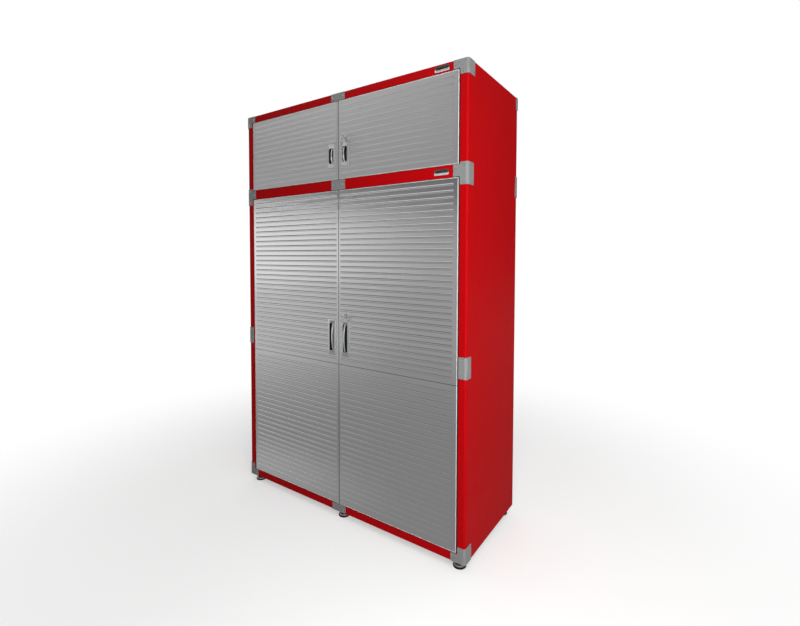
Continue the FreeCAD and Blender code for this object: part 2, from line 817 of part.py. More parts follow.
def build_body():
    holes = screw_holes()
    sections = [("lower", body_bottom, lower_joint), ("middle", lower_joint, upper_joint),
                ("upper", upper_joint, body_top - panel_sheet)]
    for level, z0, z1 in sections:
        section = side_section(z0, z1)
        keep(level + "_side_right", section.cut(holes))
        keep(level + "_side_left", mirrored(section).cut(holes))
    for name, half in (("base", base_half()), ("divider", divider_half()), ("top", top_half())):
        left = mirrored(half)
        if name == "divider":
            left = left.cut(bolt_hole(divider_bottom))
        if name == "top":
            left = left.cut(bolt_hole(upper_top)).cut(wall_holes())
            half = half.cut(wall_holes())
        keep(name + "_right", half.cut(holes))
        keep(name + "_left", left.cut(holes))
    keep("back_lower", back_panel(body_bottom, lower_joint))
    keep("back_middle", back_panel(lower_joint, upper_joint).cut(holes))
    keep("back_upper", back_panel(upper_joint, body_top - panel_sheet).cut(holes).cut(wall_holes()))
    bottoms = front_bracket(corner_leg, bottom_span[0], bottom_span[1], rail_spans[0])
    tops = front_bracket(corner_leg, top_span[0], top_span[1], rail_spans[2])
    joints = front_bracket(joint_leg, joint_span[0], joint_span[1], rail_spans[1])
    posts = front_bracket(post_leg, post_span[0], post_span[1])
    keep("bottom_corner_brackets", [b.cut(holes) for b in both_sides(bottoms)])
    keep("top_corner_brackets", [b.cut(holes) for b in both_sides(tops)])
    keep("joint_brackets", [b.cut(holes) for b in both_sides(joints) + both_sides(posts)])
    keep("centre_brackets", [centre_bracket(span[0], span[1]).cut(holes) for span in rail_spans])
    rears = both_sides(rear_bracket(top_span[0], top_span[1]))
    rears += both_sides(rear_bracket(rear_joint_span[0], rear_joint_span[1]))
    keep("rear_brackets", [b.cut(holes) for b in rears])
    screws = []
    for place, out in screw_places():
        screws.extend(both_sides(screw(place, out)))
    keep("bracket_screws", screws)
    keep("blank_badges", badges())
    keep("hinge_pins", hinge_pins())
    keep("door_catches", door_catches())


def build_shelves():
    clips = []
    ledges = [ledge_height(slot) for slot in shelf_slots]
    for name, z in zip(("shelf_lower", "shelf_middle", "shelf_upper"), ledges):
        keep(name, shelf(z))
        for y in (standard_front, standard_rear):
            clips.extend(both_sides(clip(y, z)))
    keep("shelf_clips", clips)
    keep("shelf_standards", both_sides(standard(standard_front)) + both_sides(standard(standard_rear)))


def build_feet():
    names = ["foot_front_left", "foot_front_centre", "foot_front_right",
             "foot_rear_left", "foot_rear_centre", "foot_rear_right"]
    for name, place in zip(names, foot_places()):
        keep(name, foot(place[0], place[1]))
    keep("foot_plates", [foot_support(x, y) for x, y in foot_places()])


def build_doors():
    joint = lower_door[0] + lower_skin_height
    levels = [
        ("lower", lower_door, lower_lock_z, lower_pull_z, lower_pull_height, joint),
        ("upper", upper_door, upper_lock_z, upper_pull_z, upper_pull_height, None),
    ]
    for level, span, lock_z, pull_z, tall, joint_z in levels:
        z0, z1 = span
        ending = "_skin"
        skin_z = z0
        if joint_z:
            ending = "_skin_top"
            skin_z = joint_z + skin_joint / 2
            plain = skin(z0, joint_z - skin_joint / 2)
            keep(level + "_right_skin_bottom", plain)
            keep(level + "_left_skin_bottom", mirrored(plain))
        sheet = skin(skin_z, z1)
        right_tools = Part.makeCompound(skin_openings(pull_z, tall, lock_z))
        left_tools = Part.makeCompound(skin_openings(pull_z, tall))
        keep(level + "_right" + ending, divided_skin(sheet.cut(right_tools), pull_z, tall, skin_z, z1))
        left_sheets = divided_skin(sheet.cut(left_tools), pull_z, tall, skin_z, z1)
        keep(level + "_left" + ending, [mirrored(piece) for piece in left_sheets])
        tray = pan(z0, z1, joint_z)
        right_tray = [piece.cut(lock_hole(lock_z)) for piece in tray]
        keep(level + "_right_pan", right_tray + door_bushes(z0, z1))
        fittings = door_bushes(z0, z1) + bolt_guides(z1) + [strike(lock_z)]
        keep(level + "_left_pan", [mirrored(piece) for piece in tray + fittings])
        handle = pull(pull_z, tall)
        keep(level + "_right_pull", handle)
        keep(level + "_left_pull", mirrored(handle))
        keep(level + "_bolt", mirrored(bolt(z1)))
        keep(level + "_lock_body", lock_body(lock_z))
        keep(level + "_lock_plug", lock_plug(lock_z))
        keep(level + "_key", key_blank(lock_centre, key_stop, lock_z))
        keep(level + "_key_ring", key_ring(lock_z))


def write_nodes():
    os.makedirs("parts", exist_ok=True)
    for name, shape in nodes.items():
        shape.translate(Vector(0, -middle_y, 0))
        shape.exportStep("parts/" + name + ".step")
        print(name, len(shape.Solids), "solids", round(shape.Volume), "mm3")


build_body()
build_shelves()
build_feet()
build_doors()
write_nodes()
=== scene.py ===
import json
import math
import bmesh
import bpy
import numpy as np
from mathutils import Matrix, Vector


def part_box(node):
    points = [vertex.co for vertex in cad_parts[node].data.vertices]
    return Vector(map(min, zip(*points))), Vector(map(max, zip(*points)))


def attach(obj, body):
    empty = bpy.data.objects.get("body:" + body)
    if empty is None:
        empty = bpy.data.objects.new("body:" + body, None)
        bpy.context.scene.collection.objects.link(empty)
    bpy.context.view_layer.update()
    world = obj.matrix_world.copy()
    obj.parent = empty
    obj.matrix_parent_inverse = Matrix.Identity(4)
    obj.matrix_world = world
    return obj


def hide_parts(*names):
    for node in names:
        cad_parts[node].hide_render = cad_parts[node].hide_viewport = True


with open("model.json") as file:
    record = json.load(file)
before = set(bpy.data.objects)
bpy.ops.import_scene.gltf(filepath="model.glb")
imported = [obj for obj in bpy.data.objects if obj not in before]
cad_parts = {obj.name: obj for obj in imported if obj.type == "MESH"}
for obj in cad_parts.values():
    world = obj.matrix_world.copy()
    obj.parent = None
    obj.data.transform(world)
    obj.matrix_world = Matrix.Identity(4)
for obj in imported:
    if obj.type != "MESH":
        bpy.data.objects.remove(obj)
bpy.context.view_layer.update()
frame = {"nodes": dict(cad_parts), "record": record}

# A steel storage cabinet: ribbed sheet doors in a red body, with grey corner pieces and chrome pulls.
# +Z up, the doors face -Y. Pieces are worked out in millimetres; the room around them is in metres.

nodes = frame["nodes"]
mm = 0.001
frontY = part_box("lower_side_right")[0].y   # the front plane of the posts
levels = ("lower", "upper")
sides = (("left", -1), ("right", 1))
print("frame loaded:", len(nodes), "nodes")


# small tools

def toLinear(hexColour):
    # an sRGB hex colour as linear light, with an alpha of 1
    parts = [int(hexColour[i:i + 2], 16) / 255 for i in (1, 3, 5)]
    return tuple(c / 12.92 if c <= 0.04045 else ((c + 0.055) / 1.055) ** 2.4 for c in parts) + (1.0,)


def setSockets(tree, node, sockets):
    # a socket is given by name or number, with a value or with the output that feeds it
    for key, value in sockets.items():
        if isinstance(value, bpy.types.NodeSocket):
            tree.links.new(value, node.inputs[key])
        else:
            node.inputs[key].default_value = value


def addNode(tree, kind, settings=None, sockets=None):
    node = tree.nodes.new(kind)
    for key, value in (settings or {}).items():
        setattr(node, key, value)
    setSockets(tree, node, sockets or {})
    return node


def startMaterial(name):
    # a new material with its tree, its surface and where a point lies on the piece
    material = bpy.data.materials.new(name)
    material.use_nodes = True
    tree = material.node_tree
    where = addNode(tree, "ShaderNodeTexCoord").outputs["Object"]
    return material, tree, tree.nodes["Principled BSDF"], where


def perMetre(sizeMm):
    # a noise scale for a pattern whose features are this many millimetres apart
    return 1.0 / (sizeMm * mm)


# finishes. A Mix node goes by numbers: socket 0 is the share, 2 and 3 are its numbers, 6 and 7 its colours

colourMix = {"data_type": "RGBA"}
numberMix = {"data_type": "FLOAT"}
softStep = {"interpolation_type": "SMOOTHSTEP"}
powder = {"driftMm": 420, "wearMm": 60, "duller": 0.06, "shinier": 0.05, "peelStrength": 0.35, "ior": 1.5}


def polyesterPowderCoat(name, dark, light, rough, gloss, peelMm=2.4, peelDepth=0.00005):
    # polyester powder baked on steel: the melt leaves an even orange peel under a satin skin, and its depth
    # of colour drifts a little over a panel. The real peel is 1.2 mm; it is drawn coarser so that it shows
    material, tree, surface, where = startMaterial(name)
    drift = addNode(tree, "ShaderNodeTexNoise", None,
                    {"Vector": where, "Scale": perMetre(powder["driftMm"]), "Detail": 3.0})
    colour = addNode(tree, "ShaderNodeMix", colourMix,
                     {0: drift.outputs["Fac"], 6: toLinear(dark), 7: toLinear(light)})
    peel = addNode(tree, "ShaderNodeTexNoise", None,
                   {"Vector": where, "Scale": perMetre(peelMm), "Detail": 1.0})
    bump = addNode(tree, "ShaderNodeBump", None,
                   {"Height": peel.outputs["Fac"], "Strength": powder["peelStrength"],
                    "Distance": peelDepth})
    wear = addNode(tree, "ShaderNodeTexNoise", None,
                   {"Vector": where, "Scale": perMetre(powder["wearMm"]), "Detail": 4.0})
    sheen = addNode(tree, "ShaderNodeMapRange", None,
                    {"Value": wear.outputs["Fac"], "To Min": rough - powder["shinier"],
                     "To Max": rough + powder["duller"]})
    setSockets(tree, surface, {"Base Color": colour.outputs[2], "Roughness": sheen.outputs["Result"],
                               "Normal": bump.outputs["Normal"], "IOR": powder["ior"],
                               "Specular IOR Level": gloss})
    return material


linished = {"dark": "#c8c7c8", "light": "#d6d5d5", "grainMm": 0.9, "grainAlong": (0.02, 0.02, 1.0),
            "grainDepth": 0.00003, "wavesMm": 34, "wavesAlong": (0.22, 0.22, 1.0), "waveDepth": 0.0006,
            "cloudMm": 260, "cloudShare": 0.35, "uneven": 0.04}


def brushedDoorSheet(name, rough):
    # stainless sheet linished along its length: a level grain, a soft broad glint, and slow waves where the
    # rolls have pulled it. The real grain is 0.1 mm; it is drawn at 0.9 mm so that it shows
    material, tree, surface, where = startMaterial(name)
    alongGrain = addNode(tree, "ShaderNodeMapping", None, {"Vector": where, "Scale": linished["grainAlong"]})
    grain = addNode(tree, "ShaderNodeTexNoise", None,
                    {"Vector": alongGrain.outputs["Vector"], "Scale": perMetre(linished["grainMm"]),
                     "Detail": 2.0})
    alongWaves = addNode(tree, "ShaderNodeMapping", None, {"Vector": where, "Scale": linished["wavesAlong"]})
    waves = addNode(tree, "ShaderNodeTexNoise", None,
                    {"Vector": alongWaves.outputs["Vector"], "Scale": perMetre(linished["wavesMm"]),
                     "Detail": 2.0, "Distortion": 0.4})
    cloud = addNode(tree, "ShaderNodeTexNoise", None,
                    {"Vector": where, "Scale": perMetre(linished["cloudMm"]), "Detail": 3.0})
    mixed = addNode(tree, "ShaderNodeMix", numberMix,
                    {0: linished["cloudShare"], 2: grain.outputs["Fac"], 3: cloud.outputs["Fac"]})
    colour = addNode(tree, "ShaderNodeMix", colourMix,
                     {0: mixed.outputs[0], 6: toLinear(linished["dark"]), 7: toLinear(linished["light"])})
    gloss = addNode(tree, "ShaderNodeMapRange", None,
                    {"Value": grain.outputs["Fac"], "To Min": rough - linished["uneven"],
                     "To Max": rough + linished["uneven"]})
    waveBump = addNode(tree, "ShaderNodeBump", None,
                       {"Height": waves.outputs["Fac"], "Strength": 0.5, "Distance": linished["waveDepth"]})
    grainBump = addNode(tree, "ShaderNodeBump", None,
                        {"Height": grain.outputs["Fac"], "Strength": 0.25,
                         "Distance": linished["grainDepth"], "Normal": waveBump.outputs["Normal"]})
    setSockets(tree, surface, {"Base Color": colour.outputs[2], "Roughness": gloss.outputs["Result"],
                               "Normal": grainBump.outputs["Normal"], "Metallic": 1.0})
    return material


def platedMetal(name, dark, light, rough, spotMm):
    # electroplated metal: bright, with faint cloudy spots where the plate is thinner, and handling scuffs
    # a sixth of their size
    material, tree, surface, where = startMaterial(name)
    spots = addNode(tree, "ShaderNodeTexNoise", None,
                    {"Vector": where, "Scale": perMetre(spotMm), "Detail": 4.0})
    colour = addNode(tree, "ShaderNodeMix", colourMix,
                     {0: spots.outputs["Fac"], 6: toLinear(dark), 7: toLinear(light)})
    scuffs = addNode(tree, "ShaderNodeTexNoise", None,
                     {"Vector": where, "Scale": perMetre(spotMm / 6), "Detail": 2.0})
    gloss = addNode(tree, "ShaderNodeMapRange", None,
                    {"Value": scuffs.outputs["Fac"], "To Min": rough[0], "To Max": rough[1]})
    setSockets(tree, surface, {"Base Color": colour.outputs[2], "Roughness": gloss.outputs["Result"],
                               "Metallic": 1.0})
    return material


def mouldedPart(name, dark, light, rough, grainMm, grainDepth, ior):
    # rubber or nylon pressed in a blasted mould: matt, with a fine pebble in its skin
    material, tree, surface, where = startMaterial(name)
    grain = addNode(tree, "ShaderNodeTexNoise", None,
                    {"Vector": where, "Scale": perMetre(grainMm), "Detail": 2.0})
    colour = addNode(tree, "ShaderNodeMix", colourMix,
                     {0: grain.outputs["Fac"], 6: toLinear(dark), 7: toLinear(light)})
    gloss = addNode(tree, "ShaderNodeMapRange", None,
                    {"Value": grain.outputs["Fac"], "To Min": rough[0], "To Max": rough[1]})
    bump = addNode(tree, "ShaderNodeBump", None,
                   {"Height": grain.outputs["Fac"], "Strength": 0.5, "Distance": grainDepth})
    setSockets(tree, surface, {"Base Color": colour.outputs[2], "Roughness": gloss.outputs["Result"],
                               "Normal": bump.outputs["Normal"], "IOR": ior})
    return material


finishes = {
    "red_powder_coat": polyesterPowderCoat("redPowderCoat", "#aa050a", "#b3080e", 0.42, 0.04),
    "grey_powder_coat": polyesterPowderCoat("greyPowderCoat", "#9b9d9d", "#a9abab", 0.50, 0.4),
    "bracket_grey": polyesterPowderCoat("bracketPaint", "#7e807f", "#8a8c8b", 0.42, 0.3, 1.6, 0.00008),
    "ribbed_steel": brushedDoorSheet("brushedDoorSheet", 0.17),
    "chrome": platedMetal("satinChrome", "#c4c6c9", "#d3d5d7", (0.20, 0.28), 30),
    "zinc_steel": platedMetal("brightZincPlate", "#c3c5c7", "#dcddde", (0.30, 0.46), 14),
    "nickel_key": platedMetal("nickelPlate", "#dddcd9", "#efeeec", (0.24, 0.40), 10),
    "badge_metal": platedMetal("anodisedAluminium", "#8d9093", "#9da0a3", (0.34, 0.44), 24),
    "catch_plastic": mouldedPart("blackNylon", "#141414", "#202020", (0.45, 0.6), 0.8, 0.00003, 1.53),
    "rubber": mouldedPart("blackRubber", "#0f0f0f", "#1c1b1a", (0.62, 0.8), 1.2, 0.00006, 1.52),
}
for part in frame["record"]["subparts"]:
    mesh = nodes[part["node"]].data
    mesh.materials.clear()
    mesh.materials.append(finishes[part["material_slot"]])
polishedChrome = platedMetal("polishedChrome", "#dadcde", "#ececed", (0.08, 0.18), 30)
# blasted before it is plated: as dull as the upper doors' sheet, so their pulls' plates hardly stand out
matteChrome = platedMetal("matteChrome", "#cdcfd1", "#d9dbdc", (0.42, 0.50), 30)
# the upper doors' sheet is duller, so its ribs are fainter
softSheet = brushedDoorSheet("softBrushedSheet", 0.48)
for name in ("upper_left_skin", "upper_right_skin"):
    nodes[name].data.materials.clear()
    nodes[name].data.materials.append(softSheet)
print("finishes given to the frame")


# mesh tools

def roundAngles(count):
    return np.linspace(0, 2 * math.pi, count, endpoint=False)


def grid(down, across):
    # two parameters spread over a grid, the first one going down its rows
    return np.meshgrid(down, across, indexing="ij")


def gridFaces(rows, columns, closeRows=False):
    # the four corners of each cell of a grid of points, whose rows are rings
    r, c = grid(np.arange(rows if closeRows else rows - 1), np.arange(columns))
    nextR, nextC = (r + 1) % rows, (c + 1) % columns
    corners = (r * columns + c, r * columns + nextC, nextR * columns + nextC, nextR * columns + c)
    return np.stack(corners, -1).reshape(-1, 4)


def closedTube(rings):
    # a tube through a grid of rings, with each end drawn in to the middle of its ring
    ends = [ring.mean(1, keepdims=True) + 0 * ring for ring in (rings[:1], rings[-1:])]
    points = np.concatenate([ends[0], rings, ends[1]])
    return points.reshape(-1, 3), gridFaces(*points.shape[:2])


def turned(profile, around):
    # a profile of (radius, height) carried round the Z axis: x = r cos a, y = r sin a, z = h
    angle = roundAngles(around)
    radius, height = profile[:, :1], profile[:, 1:]
    points = np.stack([radius * np.cos(angle), radius * np.sin(angle), height + 0 * angle], -1)
    return points.reshape(-1, 3), gridFaces(len(profile), around)


def squareness(x, y, power):
    # what stretches a circle to a square with round corners: k = (|x|^n + |y|^n)^(-1/n)
    return (np.abs(x) ** power + np.abs(y) ** power) ** (-1 / power)


def aim(points, place, out):
    # turns a shape drawn along +Z to point along out, and moves it to its place
    turn = np.array(Vector((0, 0, 1)).rotation_difference(Vector(out)).to_matrix())
    return points @ turn.T + np.array(place)


creaseAngle = 35   # an edge that turns by more than these degrees is shaded sharp


def makePiece(name, parts, slotName, body, finish=None):
    # joins the grids in one mesh, welds seams and poles, and turns every face outwards
    points = np.concatenate([p for p, f in parts]) * mm
    starts = np.cumsum([0] + [len(p) for p, f in parts[:-1]])
    faces = np.concatenate([f + s for (p, f), s in zip(parts, starts)])
    mesh = bpy.data.meshes.new(name)
    mesh.from_pydata(points.tolist(), [], faces.tolist())
    work = bmesh.new()
    work.from_mesh(mesh)
    bmesh.ops.remove_doubles(work, verts=work.verts, dist=1e-6)
    bmesh.ops.dissolve_degenerate(work, edges=work.edges, dist=1e-7)
    bmesh.ops.recalc_face_normals(work, faces=work.faces)
    work.to_mesh(mesh)
    work.free()
    mesh.shade_smooth()
    mesh.set_sharp_from_angle(angle=math.radians(creaseAngle))
    mesh.materials.append(finish or finishes[slotName])
    piece = bpy.data.objects.new(name, mesh)
    bpy.context.scene.collection.objects.link(piece)
    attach(piece, body)
    return piece


def nodeBox(name):
    # a node's lowest and highest corners in millimetres
    return [np.array(corner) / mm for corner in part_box(name)]


def solidBoxes(nodeName):
    # the box of each separate solid of a node, as pairs of (low, high) in millimetres: corners at one place
    # are one point, and each point takes the lowest number among its neighbours until nothing changes
    mesh = nodes[nodeName].data
    points = np.zeros(len(mesh.vertices) * 3)
    mesh.vertices.foreach_get("co", points)
    mesh.calc_loop_triangles()
    corners = np.zeros(len(mesh.loop_triangles) * 3, np.int32)
    mesh.loop_triangles.foreach_get("vertices", corners)
    points = points.reshape(-1, 3) / mm
    places, number = np.unique(np.round(points, 3), axis=0, return_inverse=True)
    triangles = number.ravel()[corners].reshape(-1, 3)
    label = np.arange(len(places))
    while True:
        before = label.copy()
        np.minimum.at(label, triangles, label[triangles].min(1)[:, None])
        label = label[label]
        if (label == before).all():
            break
    return [(places[label == one].min(0), places[label == one].max(0)) for one in np.unique(label)]


# bracket screws: pan heads with a cross recess

screwHead = {"radius": 3.6, "rise": 1.6, "crown": 0.75, "recessReach": 1.9, "recessWidth": 0.42,
             "recessSoft": 0.25, "recessDepth": 1.0}


def crossRecessHead():
    # height is a crowned disc, less a cross whose depth fades to its ends: h = rise (1 - k (r/R)^4) - recess
    rings, around = 15, 32
    r, a = grid(np.linspace(1, 0, rings) ** 0.8, roundAngles(around))
    x, y = r * screwHead["radius"] * np.cos(a), r * screwHead["radius"] * np.sin(a)
    crown = screwHead["rise"] * (1 - screwHead["crown"] * r ** 4)
    reach, width, soft = (screwHead[k] for k in ("recessReach", "recessWidth", "recessSoft"))
    arms = [np.clip((width - np.abs(p)) / soft + 0.5, 0, 1) * np.clip(1 - np.abs(q) / reach, 0, 1) ** 0.5
            for p, q in ((x, y), (y, x))]
    top = np.stack([x, y, crown - screwHead["recessDepth"] * np.maximum(*arms)], -1)
    skirt = np.stack([x[0], y[0], 0 * x[0]], -1)[None]
    points = np.concatenate([skirt, top]).reshape(-1, 3)
    return points, gridFaces(rings + 1, around)


def bracketScrews():
    head, faces = crossRecessHead()
    parts = []
    for low, high in solidBoxes("bracket_screws"):
        size, middle = high - low, (low + high) / 2
        along = int(np.argmax(size))
        out = np.zeros(3)
        out[along] = -1.0 if along < 2 and middle[along] < 0 else 1.0
        seat = middle + out * (size[along] / 2 - screwHead["rise"])
        parts.append((aim(head, seat, out), faces))
    piece = makePiece("crossHeadScrews", parts, "zinc_steel", "body")
    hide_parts("bracket_screws")
    print("screws:", len(parts))


bracketScrews()


# levelling feet: a rubber pad, a pressed dome, a threaded stem and its nut

foot = {"padRadius": 25.0, "padHeight": 6.0, "domeRadius": 22.5, "domeTop": 8.0, "domeBase": 4.0,
        "domeHeight": 12.0, "stemRadius": 4.0, "stemFrom": 10.0, "threadDepth": 0.35, "threadPitch": 1.25,
        "nutFlats": 17.0, "nutHeight": 6.0, "nutBevel": 0.9, "nutGap": 0.3, "around": 48}


def roundedProfile(corners, radius, steps=4):
    # a line through the corners with each inner one rounded: a quadratic curve between points a radius away
    line = [np.array(corners[0], float)]
    for before, corner, after in zip(corners[:-2], corners[1:-1], corners[2:]):
        before, corner, after = (np.array(p, float) for p in (before, corner, after))
        start = corner + (before - corner) * min(0.5, radius / max(np.linalg.norm(before - corner), 1e-9))
        end = corner + (after - corner) * min(0.5, radius / max(np.linalg.norm(after - corner), 1e-9))
        t = np.linspace(0, 1, steps + 1)[:, None]
        line.extend((1 - t) ** 2 * start + 2 * t * (1 - t) * corner + t ** 2 * end)
    line.append(np.array(corners[-1], float))
    return np.array(line)


def padProfile():
    # a low tyre with a groove round it and a lip that holds the dome
    r, h, dome = foot["padRadius"], foot["padHeight"], foot["domeRadius"]
    corners = [(0, 0), (r - 0.6, 0), (r, 0.8), (r, 2.2), (r - 0.6, 2.8), (r, 3.4), (r, h - 1.4),
               (r - 1.0, h), (dome - 0.2, h), (dome - 0.6, foot["domeBase"]), (0, foot["domeBase"])]
    return roundedProfile(corners, 0.6)


def domeProfile():
    # a deep drawn cup: a steep wall, a generous shoulder and a flat crown round the stem
    r, base = foot["domeRadius"], foot["domeBase"]
    top = base + foot["domeHeight"]
    corners = [(0, base + 0.2), (r - 0.8, base + 0.2), (r - 0.4, base + 4.5), (r - 3.5, base + 8.5),
               (foot["domeTop"] + 3, top - 1.0), (foot["domeTop"], top), (0, top)]
    return roundedProfile(corners, 2.2, 6)


def threadedStem(z0, z1):
    # radius is a saw tooth of height and angle: r = R - depth |2 frac(z/pitch + a/2pi) - 1|
    rowsPerTurn, around = 6, 20
    rows = int((z1 - z0) / foot["threadPitch"] * rowsPerTurn) + 1
    z, a = grid(np.linspace(z0, z1, rows), roundAngles(around))
    tooth = np.abs(2 * np.mod(z / foot["threadPitch"] + a / (2 * math.pi), 1) - 1)
    r = foot["stemRadius"] - foot["threadDepth"] * tooth
    side = np.stack([r * np.cos(a), r * np.sin(a), z], -1)
    ends = [np.stack([0 * a[0], 0 * a[0], h + 0 * a[0]], -1)[None] for h in (z0, z1)]
    return np.concatenate([ends[0], side, ends[1]]).reshape(-1, 3), gridFaces(rows + 2, around)


def hexNut(z0, z1):
    # radius follows the flats, r = f / cos(a - nearest flat), and is held in by a cone at both faces
    around, flat = 72, foot["nutFlats"] / 2
    a = roundAngles(around)
    toFlat = np.mod(a + math.pi / 6, math.pi / 3) - math.pi / 6
    hexagon = flat / np.cos(toFlat)
    bore, cone, bevel = foot["stemRadius"] - 0.2, flat * 0.97, foot["nutBevel"]
    rows = [(z0, bore), (z0, cone), (z0 + bevel, math.inf), (z1 - bevel, math.inf), (z1, cone), (z1, bore)]
    points = []
    for z, limit in rows:
        r = np.minimum(hexagon, limit)
        points.append(np.stack([r * np.cos(a), r * np.sin(a), z + 0 * a], -1))
    return np.concatenate(points), gridFaces(len(rows), around, closeRows=True)


def levellingFeet():
    nutTop = nodeBox("base_left")[0][2] - foot["nutGap"]
    for name in [n for n in nodes if n.startswith("foot_") and n != "foot_plates"]:
        low, high = nodeBox(name)
        place = np.array([(low[0] + high[0]) / 2, (low[1] + high[1]) / 2, 0])
        points, faces = turned(padProfile(), foot["around"])
        pad = makePiece(name + "_rubberPad", [(points + place, faces)], "rubber", name)
        metal = [turned(domeProfile(), foot["around"]), threadedStem(foot["stemFrom"], high[2]),
                 hexNut(nutTop - foot["nutHeight"], nutTop)]
        metal = [(p + place, f) for p, f in metal]
        dome = makePiece(name + "_domeAndStem", metal, "zinc_steel", name)
        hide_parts(name)
        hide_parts(name)
    print("levelling feet made")


levellingFeet()


# keys: a cut blade with a milled groove, and a flat bow round its hole

keyShape = {"sheet": 2.2, "blade": 8.0, "bow": 10.0, "neck": 6.0, "reach": 19.0, "holeRadius": 2.8,
            "holeInset": 4.5, "cuts": (1.3, 2.2, 0.8, 1.9, 1.5), "tipLength": 3, "tipDrop": 2.4,
            "groove": 0.45, "grooveMiddle": 0.8, "grooveHalf": 0.8, "edgePower": 8}


def keyBow():
    # a closed band round the hole: across it the half thickness is that of a flat plate with round edges,
    # and outwards it runs from the hole's rim to the bow's circle, r = -d cos a + sqrt(R^2 - d^2 sin^2 a)
    around, across = 56, 20
    offset = keyShape["bow"] - keyShape["holeInset"]
    a, t = grid(roundAngles(around), roundAngles(across))
    outer = offset * np.cos(a) + np.sqrt(keyShape["bow"] ** 2 - (offset * np.sin(a)) ** 2)
    inner = keyShape["holeRadius"]
    wide, thick = np.cos(t), np.sin(t)
    flatten = squareness(wide, thick, keyShape["edgePower"])
    edge = 0.5 * (outer + inner) + 0.5 * (outer - inner) * np.clip(wide * flatten, -1, 1)
    half = keyShape["sheet"] / 2 * np.clip(thick * flatten, -1, 1)
    points = np.stack([half, edge * np.cos(a), edge * np.sin(a)], -1)
    return points.reshape(-1, 3), gridFaces(around, across, closeRows=True)


def keyBlade(start, end, cutFrom):
    # a bar along Y with rounded edges: z shrinks by the cuts on its lower side and by the tip's slope on
    # both, z (1 - drop / half the blade), and x steps in by the groove along one flat
    rows, across = 66, 24
    y, t = grid(np.linspace(start, end, rows), roundAngles(across))
    flatten = squareness(np.cos(t), np.sin(t), keyShape["edgePower"])
    halfBlade = keyShape["blade"] / 2
    x, z = np.cos(t) * flatten * keyShape["sheet"] / 2, np.sin(t) * flatten * halfBlade
    cuts = np.zeros_like(y)
    step = (end - cutFrom) / (len(keyShape["cuts"]) + 0.6)
    for i, depth in enumerate(keyShape["cuts"]):
        middle = cutFrom + step * (i + 0.7)
        cuts = np.maximum(cuts, depth * np.clip(1.6 - 2.2 * np.abs(y - middle) / step, 0, 1))
    tip = np.clip((y - end) / keyShape["tipLength"] + 1, 0, 1) * keyShape["tipDrop"]
    z = z * (1 - (np.where(z < 0, cuts, 0) + tip) / halfBlade)
    inGroove = (np.abs(z - keyShape["grooveMiddle"]) < keyShape["grooveHalf"]) & (x > 0) & (y > cutFrom - 3)
    return closedTube(np.stack([np.where(inGroove, x - keyShape["groove"], x), y, z], -1))


def keyParts():
    # drawn with the middle of the hole at the origin and the blade along +Y
    bowEnd = 2 * keyShape["bow"] - keyShape["holeInset"]
    toStep = bowEnd + keyShape["neck"]
    return [keyBow(), keyBlade(bowEnd - 2.5, toStep + keyShape["reach"], toStep + 1.0)]


ring = {"radius": 9.0, "wire": 0.9, "turns": 1.96, "wireWide": 0.9, "wireThick": 0.98, "slack": 0.2}


def splitRing():
    # two turns of flattened wire about Y, with closed ends: y shifts by half a wire in each turn
    rows, across = 160, 10
    u, t = grid(np.linspace(0, 1, rows), roundAngles(across))
    a = u * ring["turns"] * 2 * math.pi
    halfWire = ring["wire"] / 2
    r = ring["radius"] + ring["wire"] * ring["wireWide"] * np.cos(t)
    y = (u - 0.5) * ring["wire"] + halfWire * np.sin(t) * ring["wireThick"]
    return closedTube(np.stack([r * np.sin(a), y, r * np.cos(a)], -1))


def keysAndRings():
    hang = ring["wire"] + ring["slack"] - keyShape["holeRadius"]
    for level in levels:
        low, high = nodeBox(level + "_key")
        middle = (low + high) / 2
        hole = np.array([middle[0], low[1] + keyShape["holeInset"], middle[2]])
        turnedKey = [(p + hole, f) for p, f in keyParts()]
        inLock = makePiece(level + "_keyInLock", turnedKey, "nickel_key", level + "_key")
        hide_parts(level + "_key")
        ringTop = hole[2] + hang
        ringMiddle = np.array([hole[0], hole[1], ringTop - ring["radius"]])
        spareHole = np.array([hole[0], hole[1], ringTop - 2 * ring["radius"] + hang])
        points, faces = splitRing()
        parts = [(points + ringMiddle, faces)]
        for p, f in keyParts():
            parts.append((p[:, [0, 2, 1]] * (1, 1, -1) + spareHole, f))
        spare = makePiece(level + "_ringAndSpareKey", parts, "nickel_key", level + "_key_ring")
        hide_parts(level + "_key_ring")
    print("keys and rings made")


keysAndRings()


# flush pulls: a chromed plate with a beaded mouth, a black cup sunk behind it and a bowed grip

pull = {"corner": 6.0, "plate": 3.0, "border": 20.0, "cupWidth": 24.0, "cupDepth": 15.0, "bead": 0.6,
        "gripInset": 7.5, "gripRadius": 3.5, "gripRise": 5.0, "gripRoot": 3.0, "gripPast": 0.6,
        "gripSwell": 0.18, "gripFlat": 0.92}


def roundedRectangle(halfWide, halfTall, corner):
    # four arcs about the corners' centres: x = cx + r cos a, z = cz + r sin a
    a = np.linspace(0, math.pi / 2, 9)[None] + np.arange(4)[:, None] * math.pi / 2
    x = np.array([1, -1, -1, 1])[:, None] * (halfWide - corner) + corner * np.cos(a)
    z = np.array([1, 1, -1, -1])[:, None] * (halfTall - corner) + corner * np.sin(a)
    return np.stack([x, z], -1).reshape(-1, 2)


def ringStack(rings):
    # a closed band of rounded rectangles, each with its half sizes, its corner radius and its depth along Y
    points = []
    for halfWide, halfTall, corner, depth in rings:
        outline = roundedRectangle(halfWide, halfTall, corner)
        points.append(np.stack([outline[:, 0], depth + 0 * outline[:, 0], outline[:, 1]], -1))
    return np.concatenate(points), gridFaces(len(rings), len(points[0]), closeRows=True)


